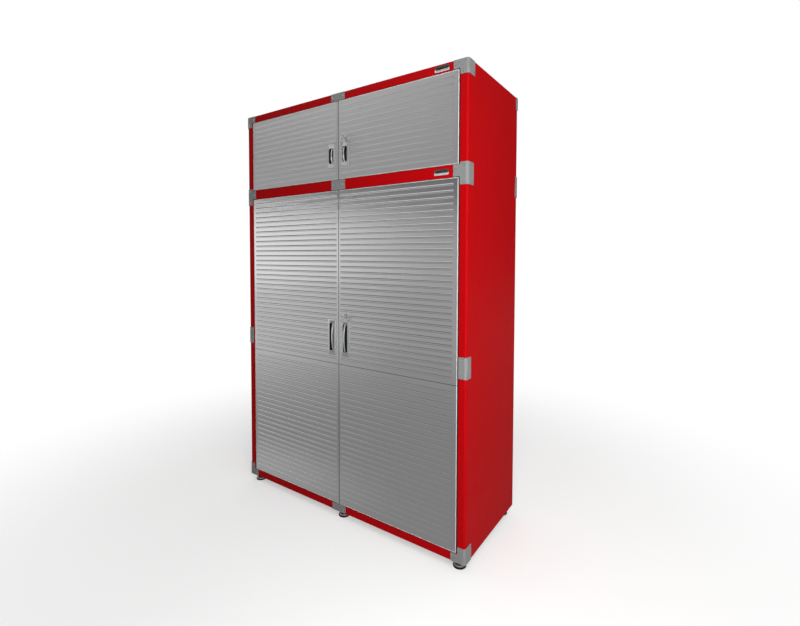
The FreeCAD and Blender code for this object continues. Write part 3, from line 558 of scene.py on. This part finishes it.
def pullPlate(wide, tall, mouthWide, mouthTall):
    # (inset, depth) over the rounded outer edge, then (growth, depth) over the bead and into the mouth
    corner, front, bead = pull["corner"], pull["plate"], pull["bead"]
    edge = [(0, 0), (0, -0.5), (0.4, -1.1), (1.5, -2.3), (2.3, -front + 0.2), (3.2, -front)]
    mouth = [(3.0, -front), (2.3, -front - bead * 0.8), (1.5, -front - bead), (0.6, -front - bead * 0.6),
             (0.1, -front + 0.6), (0.0, 0.0)]
    rings = [(wide - inset, tall - inset, corner - inset, depth) for inset, depth in edge]
    rings += [(mouthWide + grow, mouthTall + grow, corner + grow, depth) for grow, depth in mouth]
    return ringStack(rings)


def pullCup(mouthWide, mouthTall):
    # (inset, depth) down the inner wall to the middle of the floor, then back along the outer wall
    deep, lip = pull["cupDepth"], -pull["plate"] + 0.8
    inner = [(0.12, lip), (0.3, deep * 0.55), (1.2, deep - 3.2), (3.4, deep - 1.6), (mouthWide, deep - 1.3)]
    outer = [(mouthWide, deep - 0.1), (2.4, deep - 0.2), (0.2, deep - 2.4), (-0.6, deep * 0.5), (-0.6, 0.3),
             (0.0, 0.2)]
    rings = []
    for inset, depth in inner + outer:
        if inset == mouthWide:
            rings.append((0, 0, 0, depth))
        else:
            rings.append((mouthWide - inset, mouthTall - inset, max(pull["corner"] - inset, 0.5), depth))
    return ringStack(rings)


def bowedGrip(mouthTall):
    # a round bar along an arc: y = R (1 - cos b) - rise, z = R sin b, thicker where it meets the plate
    rows, around = 40, 20
    half, sag = mouthTall + pull["gripPast"], pull["gripRise"] + pull["gripRoot"]
    bend = (half ** 2 + sag ** 2) / (2 * sag)
    b, a = grid(np.linspace(-1, 1, rows) * math.asin(half / bend), roundAngles(around))
    thick = pull["gripRadius"] * (1 + pull["gripSwell"] * np.abs(b / b.max()) ** 8)
    out = thick * pull["gripFlat"] * np.sin(a)
    x = thick * np.cos(a)
    y = bend * (1 - np.cos(b)) - pull["gripRise"] - out * np.cos(b)
    z = bend * np.sin(b) + out * np.sin(b)
    return closedTube(np.stack([x, y, z], -1))


def flushPulls():
    mouthWide = pull["cupWidth"] / 2
    for level in levels:
        for side, sign in sides:
            node, door = level + "_" + side + "_pull", level + "_" + side + "_door"
            low, high = nodeBox(node)
            place = np.array([(low[0] + high[0]) / 2, frontY / mm, (low[2] + high[2]) / 2])
            gripPlace = place - np.array([sign * (mouthWide - pull["gripInset"]), 0, 0])
            wide, tall = (high[0] - low[0]) / 2, (high[2] - low[2]) / 2
            mouthTall = tall - pull["border"]
            plateFinish = matteChrome if level == "upper" else None
            made = (("Plate", pullPlate(wide, tall, mouthWide, mouthTall), place, "chrome", plateFinish),
                    ("Grip", bowedGrip(mouthTall), gripPlace, "chrome", polishedChrome),
                    ("Cup", pullCup(mouthWide, mouthTall), place, "catch_plastic", None))
            for ending, (points, faces), at, slotName, finish in made:
                piece = makePiece(level + side.title() + "_pull" + ending, [(points + at, faces)], slotName,
                                  door, finish)
                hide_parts(node)
    print("flush pulls made")


flushPulls()


# cam locks: a bevelled bezel on a plain barrel, with its nut behind the door

lockShape = {"bore": 6.3, "barrel": 9.4, "bezel": 12.0, "rise": 2.0, "nut": 13.0, "nutFrom": 22.0,
             "nutTo": 25.0, "nutBevel": 0.6, "around": 56}


def lockBodies():
    bore, barrel, bezel, nut, bevel = (lockShape[k] for k in ("bore", "barrel", "bezel", "nut", "nutBevel"))
    for level in levels:
        node = level + "_lock_body"
        low, high = nodeBox(node)
        front, back = low[1], high[1]
        seat, nutFrom, nutTo = (front + lockShape[k] for k in ("rise", "nutFrom", "nutTo"))
        # (radius, depth) from the bore over the bezel, along the barrel and round the nut
        profile = [(bore, front + 0.9), (bore + 0.5, front + 0.35), (bore + 1.3, front + 0.3),
                   (bore + 1.7, front), (bezel - 1.6, front), (bezel - 0.5, front + 0.5),
                   (bezel, front + 1.3), (bezel, seat), (barrel, seat), (barrel, nutFrom),
                   (nut - bevel, nutFrom), (nut, nutFrom + bevel), (nut, nutTo - bevel),
                   (nut - bevel, nutTo), (barrel, nutTo), (barrel - 0.3, back), (bore, back),
                   (bore, front + 0.9)]
        points, faces = turned(np.array(profile), lockShape["around"])
        place = np.array([(low[0] + high[0]) / 2, 0, (low[2] + high[2]) / 2])
        body = makePiece(level + "_lockBezel", [(points[:, [0, 2, 1]] + place, faces)], "chrome",
                         level + "_right_door")
        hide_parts(node)
    print("locks made")


lockBodies()


# door edges: a pale strip round the hinge side, top and bottom of each door is a painted highlight where
# light catches its rounded edges; black strips beside it, round the openings, and in the joint between the
# two skins of a tall door are painted shade in the gaps

# sizes of the painted strips on the doors' edges: the pale span is a painted highlight, the span after it a
# black strip of painted shade
paintedEdgeStrips = {"hingeRadius": 9.0, "proud": 0.35, "width": 2.2, "round": 0.9, "pale": (26, 41), "shadeStrip": (44, 86),
          "fromFree": 2.0, "pastPin": 3.6, "shutOver": 0.15}
# sizes of the black strips of painted shade in the gaps round the openings and in the joint between two
# skins
shadeStrip = {"recess": 0.2, "depth": 0.65, "thick": 0.8, "from": 1.2, "to": 9.0, "headGap": 2.0, "jointTo": 84}


def paintedHighlightFinish():
    # painted highlight: a pale, nearly matt, slightly metallic finish with faint lines along it, for the
    # light that the doors' rounded edges catch
    material, tree, surface, where = startMaterial("paintedEdgeHighlight")
    lines = addNode(tree, "ShaderNodeTexNoise", None,
                    {"Vector": where, "Scale": perMetre(1.2), "Detail": 2.0})
    colour = addNode(tree, "ShaderNodeMix", colourMix,
                     {0: lines.outputs["Fac"], 6: toLinear("#dadbdb"), 7: toLinear("#e8e8e7")})
    setSockets(tree, surface, {"Base Color": colour.outputs[2], "Metallic": 0.2, "Roughness": 0.38})
    return material


def sweptStrip(outer, inner, start, end):
    # a closed band between an outer and an inner line of (a, b) points, pushed along the third axis from
    # start to end, and pinched shut at both ends where the outer line meets the inner one
    loop = np.concatenate([outer, inner[::-1]])
    shut = np.concatenate([inner, inner[::-1]])
    over = paintedEdgeStrips["shutOver"]
    rows = [(shut, start), (loop, start + over), (loop, end - over), (shut, end)]
    points = np.stack([np.concatenate([line, np.full((len(line), 1), at)], 1) for line, at in rows])
    return points.reshape(-1, 3), gridFaces(len(rows), len(loop))


def hingeStrip(z0, z1, span):
    # an arc about the hinge pin: (r sin f, -r cos f), feathered into the skin where it starts and ends
    steps = 14
    f = np.radians(np.linspace(*span, steps))
    fade = np.sin(np.linspace(0, math.pi, steps)) ** 0.3
    outer = paintedEdgeStrips["hingeRadius"] + paintedEdgeStrips["proud"] * fade
    inner = paintedEdgeStrips["hingeRadius"] - 0.1 + 0 * fade
    lines = [np.stack([r * np.sin(f), -r * np.cos(f)], -1) for r in (outer, inner)]
    return sweptStrip(lines[0], lines[1], z0, z1)


def levelStrip(x0, x1, up):
    # a flat band with its outer corner rounded: drawn with the skin's edge at (0, 0), turned up or down
    t = np.linspace(0, math.pi / 2, 6)
    r, proud, width = paintedEdgeStrips["round"], paintedEdgeStrips["proud"], paintedEdgeStrips["width"]
    corner = np.stack([-proud + r * (1 - np.cos(t)), 0.05 + r * (1 - np.sin(t))], -1)
    outer = np.concatenate([[[0.0, width], [-proud, width - 0.4]], corner])
    inner = np.stack([np.full(len(outer), 0.12), np.linspace(width - 0.1, 0.3, len(outer))], -1)
    inner[-1] = (r - proud, 0.2)
    points, faces = sweptStrip(outer, inner, x0, x1)
    return points[:, [2, 0, 1]] * (1, 1, up), faces


def doorEdgeHighlightAndShade():
    finish = paintedHighlightFinish()
    for level in levels:
        for side, sign in sides:
            skins = [n for n in nodes if n.startswith(level + "_" + side + "_skin")]
            corners = np.array([corner for n in skins for corner in nodeBox(n)])
            low, high = corners.min(0), corners.max(0)
            free, outer = sorted((abs(low[0]), abs(high[0])))
            pinX = outer - paintedEdgeStrips["hingeRadius"]
            pin = np.array([pinX, frontY / mm + paintedEdgeStrips["hingeRadius"], 0])
            turn = np.array([sign, 1, 1])
            pale, dark = [], []
            for name in skins:
                bottom, top = nodeBox(name)
                for parts, span in ((pale, paintedEdgeStrips["pale"]), (dark, paintedEdgeStrips["shadeStrip"])):
                    strip, faces = hingeStrip(bottom[2], top[2], span)
                    parts.append(((strip + pin) * turn, faces))
            for up, z in ((1, low[2]), (-1, high[2])):
                band, faces = levelStrip(free + paintedEdgeStrips["fromFree"], pinX + paintedEdgeStrips["pastPin"], up)
                pale.append(((band + np.array([0, frontY / mm, z])) * turn, faces))
            door = level + "_" + side + "_door"
            # the pale strips are a painted highlight where light catches the doors' rounded edges
            makePiece(level + side.title() + "_edging", pale, "badge_metal", door, finish)
            # the black strips beside them are painted shade in the gaps
            makePiece(level + side.title() + "_edgeShadeStrip", dark, "rubber", door)
    print("door edging made")


def openingShadeStrips():
    # painted shade: a black strip under and over each rail darkens the gap along the edge that a door shuts
    # beside: its section, in shares of its width and height, runs across the opening and shrinks to almost
    # nothing at both ends
    section = np.array([(0.0, 0.25), (0.25, 0.0), (0.75, 0.0), (1.0, 0.25), (1.0, 1.0), (0.0, 1.0)])
    parts = []
    base, divider, head = (nodeBox(n) for n in ("base_left", "divider_left", "upper_left_pan"))
    edges = ((base[1][2], 1), (divider[0][2], -1), (divider[1][2], 1), (head[1][2] + shadeStrip["headGap"], -1))
    reach = nodeBox("lower_right_skin_top")[1][0]
    for z, up in edges:
        y = frontY / mm + shadeStrip["from"] + (shadeStrip["to"] - shadeStrip["from"]) * section[:, 0]
        h = z + up * (shadeStrip["thick"] - (shadeStrip["thick"] + 0.1) * section[:, 1])
        rows = [(0.02, -reach), (1.0, -reach + 0.2), (1.0, reach - 0.2), (0.02, reach)]
        points = []
        for share, x in rows:
            points.append(np.stack([np.full(len(section), x), y.mean() + (y - y.mean()) * share,
                                    h.mean() + (h - h.mean()) * share], -1))
        parts.append((np.concatenate(points), gridFaces(len(rows), len(section))))
    makePiece("openingShadeStrips", parts, "rubber", "body")
    print("opening seals made")


def jointShadeStrips():
    # painted shade in the joint between the two skins: a black strip follows the skin's outline, straight
    # and then round the hinge edge, inwards along its normal
    section = np.array([(0.0, -0.6), (0.0, 0.6), (0.15, 1.0), (1.0, 1.0), (1.0, -1.0), (0.15, -1.0)])
    depth = shadeStrip["recess"] + shadeStrip["depth"] * section[:, 0]
    radius = paintedEdgeStrips["hingeRadius"]
    f = np.radians(np.linspace(0, shadeStrip["jointTo"], 12))
    for side, sign in sides:
        low, high = nodeBox("lower_" + side + "_skin_bottom")
        top = nodeBox("lower_" + side + "_skin_top")[0][2]
        free, outer = sorted((abs(low[0]), abs(high[0])))
        pinX = outer - radius
        x = np.concatenate([[free + 1.6, free + 2.0, (free + pinX) / 2], pinX + radius * np.sin(f)])
        y = np.concatenate([[0, 0, 0], radius * (1 - np.cos(f))])
        outX = np.concatenate([[0, 0, 0], np.sin(f)])
        outY = np.concatenate([[-1, -1, -1], -np.cos(f)])
        half = (top - high[2]) / 2 + 0.05
        points, faces = closedTube(np.stack([x[:, None] - outX[:, None] * depth,
                                             y[:, None] - outY[:, None] * depth,
                                             0 * x[:, None] + section[:, 1] * half], -1))
        points = (points + np.array([0, frontY / mm, (top + high[2]) / 2])) * np.array([sign, 1, 1])
        makePiece("lower" + side.title() + "_jointShadeStrip", [(points, faces)], "rubber",
                  "lower_" + side + "_door")
    print("joint seals made")


doorEdgeHighlightAndShade()
openingShadeStrips()
jointShadeStrips()


# blank name plates: a raised rim round a field in two bands, with nothing written on it

plate = {"rim": 1.0, "sink": 0.35, "cornerPower": 10.0, "around": 96, "bandEdge": (0.40, 0.43)}


def blankPlateFinish():
    # printed aluminium plate: a dark satin band over a pale one, split along the middle of its own map
    material, tree, surface, where = startMaterial("printedAluminium")
    onPlate = addNode(tree, "ShaderNodeUVMap", {"uv_map": "plateMap"})
    parts = addNode(tree, "ShaderNodeSeparateXYZ", None, {0: onPlate.outputs["UV"]})
    band = addNode(tree, "ShaderNodeMapRange", None,
                   {"Value": parts.outputs["Y"], "From Min": plate["bandEdge"][0],
                    "From Max": plate["bandEdge"][1]})
    speck = addNode(tree, "ShaderNodeTexNoise", None, {"Vector": where, "Scale": perMetre(3)})
    dark = addNode(tree, "ShaderNodeMix", colourMix,
                   {0: speck.outputs["Fac"], 6: toLinear("#3a3b3d"), 7: toLinear("#4a4b4d")})
    colour = addNode(tree, "ShaderNodeMix", colourMix,
                     {0: band.outputs["Result"], 6: toLinear("#c9cac9"), 7: dark.outputs[2]})
    setSockets(tree, surface, {"Base Color": colour.outputs[2], "Metallic": 0.35, "Roughness": 0.34})
    return material


def namePlates():
    # a rounded rectangle drawn in rings: each ring is the outline shrunk by an inset, at its own depth
    finish = blankPlateFinish()
    a = roundAngles(plate["around"])
    x0, z0 = np.cos(a), np.sin(a)
    square = squareness(x0, z0, plate["cornerPower"])
    field = 1 - plate["sink"]
    for number, (low, high) in enumerate(solidBoxes("blank_badges")):
        wide, tall, thick = high[0] - low[0], high[2] - low[2], high[1] - low[1]
        rings = [(0, 0), (0, 0.7), (0.25, 1.0), (plate["rim"], 1.0), (plate["rim"] + 0.3, field),
                 (min(wide, tall) / 2, field)]
        points = []
        for inset, depth in rings:
            x = x0 * square * (wide / 2 - inset)
            z = z0 * square * (tall / 2 - inset)
            points.append(np.stack([x, -depth * thick + 0 * x, z], -1))
        back, middle = (np.stack([0 * x0, y + 0 * x0, 0 * x0], -1) for y in (0, -field * thick))
        points = np.stack([back] + points + [middle]).reshape(-1, 3)
        place = np.array([(low[0] + high[0]) / 2, high[1], (low[2] + high[2]) / 2])
        parts = [(points + place, gridFaces(len(rings) + 2, len(a)))]
        piece = makePiece("namePlate" + str(number + 1), parts, "badge_metal", "body", finish)
        mesh = piece.data
        corners = np.zeros(len(mesh.loops), np.int32)
        mesh.loops.foreach_get("vertex_index", corners)
        places = np.zeros(len(mesh.vertices) * 3)
        mesh.vertices.foreach_get("co", places)
        places = places.reshape(-1, 3)[corners] / mm
        uv = np.stack([(places[:, 0] - low[0]) / wide, (places[:, 2] - low[2]) / tall], -1)
        layer = mesh.uv_layers.new(name="plateMap")
        layer.data.foreach_set("uv", uv.astype(np.float32).ravel())
        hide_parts("blank_badges")
    print("name plates made")


namePlates()


# light, floor and camera

studio = {"floorReach": 14.0, "floorPale": ("#f8f8f7", "#fcfcfb"), "floorFade": (0.8, 2.4),
          "floorGlow": 0.45, "thrownBack": "#9c9c9b", "mirrorNear": 0.33, "mirrorFar": (0.15, 0.40),
          "mirrorFade": (1.0, 4.4), "spotMiddle": (-0.70, -0.36, 0.0), "spotReach": (1.0, 0.34, 1.0),
          "spotLevel": 0.16, "leftward": (-0.45, -0.85), "horizon": (0.50, 1.25),
          "horizonEdge": (0.085, 0.135), "sky": 0.20, "ceiling": (0.45, 0.8), "ceilingSoft": 0.70,
          "wall": (-0.45, 0.1), "frontSoft": 0.03, "back": 0.12, "patchWay": (0.8, -0.59, 0.08),
          "patchEdge": (0.90, 0.99), "rightPatch": 0.6, "seen": 1.0}
white = (1, 1, 1, 1)


def makeFloor():
    # pale where it is looked at, evenly white further off, and a mid grey for the light that it throws back.
    # In mirrors it is dark near by and brighter further off, most of all towards the left, with a faint soft
    # spot before the left foot: level falls with the distance from its middle, measured in its reach
    floorMaterial, tree, surface, where = startMaterial("paleFloor")
    cloud = addNode(tree, "ShaderNodeTexNoise", None, {"Vector": where, "Scale": 1.5, "Detail": 2.0})
    pale = addNode(tree, "ShaderNodeMix", colourMix,
                   {0: cloud.outputs["Fac"], 6: toLinear(studio["floorPale"][0]),
                    7: toLinear(studio["floorPale"][1])})
    path = addNode(tree, "ShaderNodeLightPath").outputs
    seen = path["Is Camera Ray"]
    colour = addNode(tree, "ShaderNodeMix", colourMix,
                     {0: seen, 6: toLinear(studio["thrownBack"]), 7: pale.outputs[2]})
    setSockets(tree, surface, {"Base Color": colour.outputs[2], "Roughness": 0.9, "Specular IOR Level": 0.0})
    distance = addNode(tree, "ShaderNodeVectorMath", {"operation": "LENGTH"}, {0: where}).outputs["Value"]
    fade = addNode(tree, "ShaderNodeMapRange", softStep,
                   {"Value": distance, "From Min": studio["floorFade"][0],
                    "From Max": studio["floorFade"][1], "To Min": studio["floorGlow"], "To Max": 1.0})
    share = addNode(tree, "ShaderNodeMath", {"operation": "MULTIPLY"}, {0: fade.outputs["Result"], 1: seen})
    glow = addNode(tree, "ShaderNodeEmission", None, {"Color": white, "Strength": 1.0})
    both = addNode(tree, "ShaderNodeMixShader", None,
                   {0: share.outputs[0], 1: surface.outputs[0], 2: glow.outputs[0]})
    way = addNode(tree, "ShaderNodeVectorMath", {"operation": "NORMALIZE"}, {0: where})
    wayParts = addNode(tree, "ShaderNodeSeparateXYZ", None, {0: way.outputs[0]})
    leftness = addNode(tree, "ShaderNodeMapRange", softStep,
                       {"Value": wayParts.outputs["X"], "From Min": studio["leftward"][0],
                        "From Max": studio["leftward"][1], "To Min": studio["mirrorFar"][0],
                        "To Max": studio["mirrorFar"][1]})
    rise = addNode(tree, "ShaderNodeMapRange", softStep,
                   {"Value": distance, "From Min": studio["mirrorFade"][0],
                    "From Max": studio["mirrorFade"][1]})
    level = addNode(tree, "ShaderNodeMath", {"operation": "MULTIPLY_ADD"},
                    {0: rise.outputs["Result"], 1: leftness.outputs["Result"], 2: studio["mirrorNear"]})
    fromSpot = addNode(tree, "ShaderNodeVectorMath", {"operation": "SUBTRACT"},
                       {0: where, 1: studio["spotMiddle"]})
    inReach = addNode(tree, "ShaderNodeVectorMath", {"operation": "DIVIDE"},
                      {0: fromSpot.outputs[0], 1: studio["spotReach"]})
    howFar = addNode(tree, "ShaderNodeVectorMath", {"operation": "LENGTH"}, {0: inReach.outputs[0]})
    spot = addNode(tree, "ShaderNodeMapRange", softStep,
                   {"Value": howFar.outputs["Value"], "From Min": 1.0, "From Max": 0.0,
                    "To Max": studio["spotLevel"]})
    total = addNode(tree, "ShaderNodeMath", {"operation": "ADD"},
                    {0: level.outputs[0], 1: spot.outputs["Result"]})
    mirrored = addNode(tree, "ShaderNodeEmission", None, {"Color": white, "Strength": total.outputs[0]})
    final = addNode(tree, "ShaderNodeMixShader", None,
                    {0: path["Is Glossy Ray"], 1: both.outputs[0], 2: mirrored.outputs[0]})
    tree.links.new(final.outputs[0], tree.nodes["Material Output"].inputs["Surface"])
    reach = studio["floorReach"]
    corners = [(-reach, -reach, 0), (reach, -reach, 0), (reach, reach, 0), (-reach, reach, 0)]
    mesh = bpy.data.meshes.new("floor")
    mesh.from_pydata(corners, [], [(0, 1, 2, 3)])
    mesh.materials.append(floorMaterial)
    floor = bpy.data.objects.new("floor", mesh)
    bpy.context.scene.collection.objects.link(floor)


def makeWorld():
    # a white studio, bright overhead and dim behind; in mirrors it is a dim sky over a bright horizon,
    # brightest towards the left, with a bright panel on the right that glints on rounded edges. It is seen
    # as plain white
    world = bpy.data.worlds.new("studio")
    bpy.context.scene.world = world
    world.use_nodes = True
    tree = world.node_tree
    direction = addNode(tree, "ShaderNodeTexCoord").outputs["Generated"]
    parts = addNode(tree, "ShaderNodeSeparateXYZ", None, {0: direction}).outputs
    path = addNode(tree, "ShaderNodeLightPath").outputs
    horizon = addNode(tree, "ShaderNodeMapRange", softStep,
                      {"Value": parts["X"], "From Min": studio["leftward"][0],
                       "From Max": studio["leftward"][1], "To Min": studio["horizon"][0],
                       "To Max": studio["horizon"][1]})
    mirrored = addNode(tree, "ShaderNodeMapRange", softStep,
                       {"Value": parts["Z"], "From Min": studio["horizonEdge"][0],
                        "From Max": studio["horizonEdge"][1], "To Min": horizon.outputs[0],
                        "To Max": studio["sky"]})
    front = addNode(tree, "ShaderNodeMix", numberMix,
                    {0: path["Is Diffuse Ray"], 2: mirrored.outputs[0], 3: studio["frontSoft"]})
    wall = addNode(tree, "ShaderNodeMapRange", softStep,
                   {"Value": parts["Y"], "From Min": studio["wall"][0], "From Max": studio["wall"][1],
                    "To Min": front.outputs[0], "To Max": studio["back"]})
    ceiling = addNode(tree, "ShaderNodeMath", {"operation": "MULTIPLY"},
                      {0: path["Is Diffuse Ray"], 1: studio["ceilingSoft"]})
    overhead = addNode(tree, "ShaderNodeMapRange", softStep,
                       {"Value": parts["Z"], "From Min": studio["ceiling"][0],
                        "From Max": studio["ceiling"][1], "To Min": 0.0, "To Max": ceiling.outputs[0]})
    towards = addNode(tree, "ShaderNodeVectorMath", {"operation": "DOT_PRODUCT"},
                      {0: direction, 1: studio["patchWay"]})
    patch = addNode(tree, "ShaderNodeMapRange", softStep,
                    {"Value": towards.outputs["Value"], "From Min": studio["patchEdge"][0],
                     "From Max": studio["patchEdge"][1], "To Min": 0.0, "To Max": studio["rightPatch"]})
    twoParts = addNode(tree, "ShaderNodeMath", {"operation": "ADD"},
                       {0: overhead.outputs[0], 1: wall.outputs[0]})
    level = addNode(tree, "ShaderNodeMath", {"operation": "ADD"},
                    {0: twoParts.outputs[0], 1: patch.outputs[0]})
    strength = addNode(tree, "ShaderNodeMix", numberMix,
                       {0: path["Is Camera Ray"], 2: level.outputs[0], 3: studio["seen"]})
    setSockets(tree, tree.nodes["Background"], {"Strength": strength.outputs[0], "Color": white})


# a lamp either lights the piece or is seen mirrored in it. The glint hangs a little off the lamp beside it,
# because two lamps in one plane hide each other
lamps = {
    "besideCamera": {"place": (1.15, -1.25, 1.25), "target": (0.35, 0.0, 1.15), "size": (0.35, 2.1),
                     "power": 20},
    "edgeGlint": {"place": (1.18, -1.28, 1.25), "target": (0.35, 0.0, 1.15), "size": (0.35, 2.1),
                  "power": 2.2, "mirrored": True},
    "rightWall": {"place": (2.9, -0.9, 1.5), "target": (0.6, 0.0, 1.1), "size": (2.0, 2.2), "power": 36},
    "behind": {"place": (-1.8, 4.2, 2.6), "target": (0, 0.2, 1.0), "size": (2.6, 2.6), "power": 18},
    "highPanel": {"place": (-1.25, -1.5, 3.05), "target": (-0.1, -0.2, 1.5), "size": (2.7, 1.3),
                  "power": 8.6, "mirrored": True},
}


def softBox(name, place, target, size, power, mirrored=False):
    light = bpy.data.lights.new(name, "AREA")
    light.shape = "RECTANGLE"
    light.size, light.size_y = size
    light.energy = power
    lamp = bpy.data.objects.new(name, light)
    lamp.location = place
    lamp.rotation_euler = (Vector(target) - Vector(place)).to_track_quat("-Z", "Y").to_euler()
    lamp.visible_camera = False
    lamp.visible_diffuse = not mirrored
    lamp.visible_glossy = mirrored
    bpy.context.scene.collection.objects.link(lamp)


view = {"place": (1.2940, -1.3722, 1.1373), "yaw": 33.6, "pitch": 2.1, "roll": 0.2, "lens": 19.575,
        "shiftX": -0.01625, "shiftY": -0.0491, "sensor": 36, "farthest": 60}


def makeCamera():
    # looks along a yaw from +Y and a pitch down, then rolls; its place is measured from the posts' front
    yaw, pitch, roll = (math.radians(view[k]) for k in ("yaw", "pitch", "roll"))
    forward = Vector((-math.sin(yaw) * math.cos(pitch), math.cos(yaw) * math.cos(pitch), -math.sin(pitch)))
    right = Vector((math.cos(yaw), math.sin(yaw), 0))
    up = right.cross(forward)
    across = right * math.cos(roll) + up * math.sin(roll)
    upright = up * math.cos(roll) - right * math.sin(roll)
    camera = bpy.data.objects.new("camera", bpy.data.cameras.new("camera"))
    camera.data.sensor_width = view["sensor"]
    camera.data.lens = view["lens"]
    camera.data.shift_x, camera.data.shift_y = view["shiftX"], view["shiftY"]
    camera.data.clip_end = view["farthest"]
    turn = Matrix((across, upright, -forward)).transposed().to_4x4()
    place = Vector((view["place"][0], view["place"][1] + frontY, view["place"][2]))
    camera.matrix_world = Matrix.Translation(place) @ turn
    bpy.context.scene.collection.objects.link(camera)
    bpy.context.scene.camera = camera


makeFloor()
makeWorld()
for name, lamp in lamps.items():
    softBox(name, **lamp)
makeCamera()
bpy.context.scene.view_settings.view_transform = "Standard"
print("light, floor and camera set")
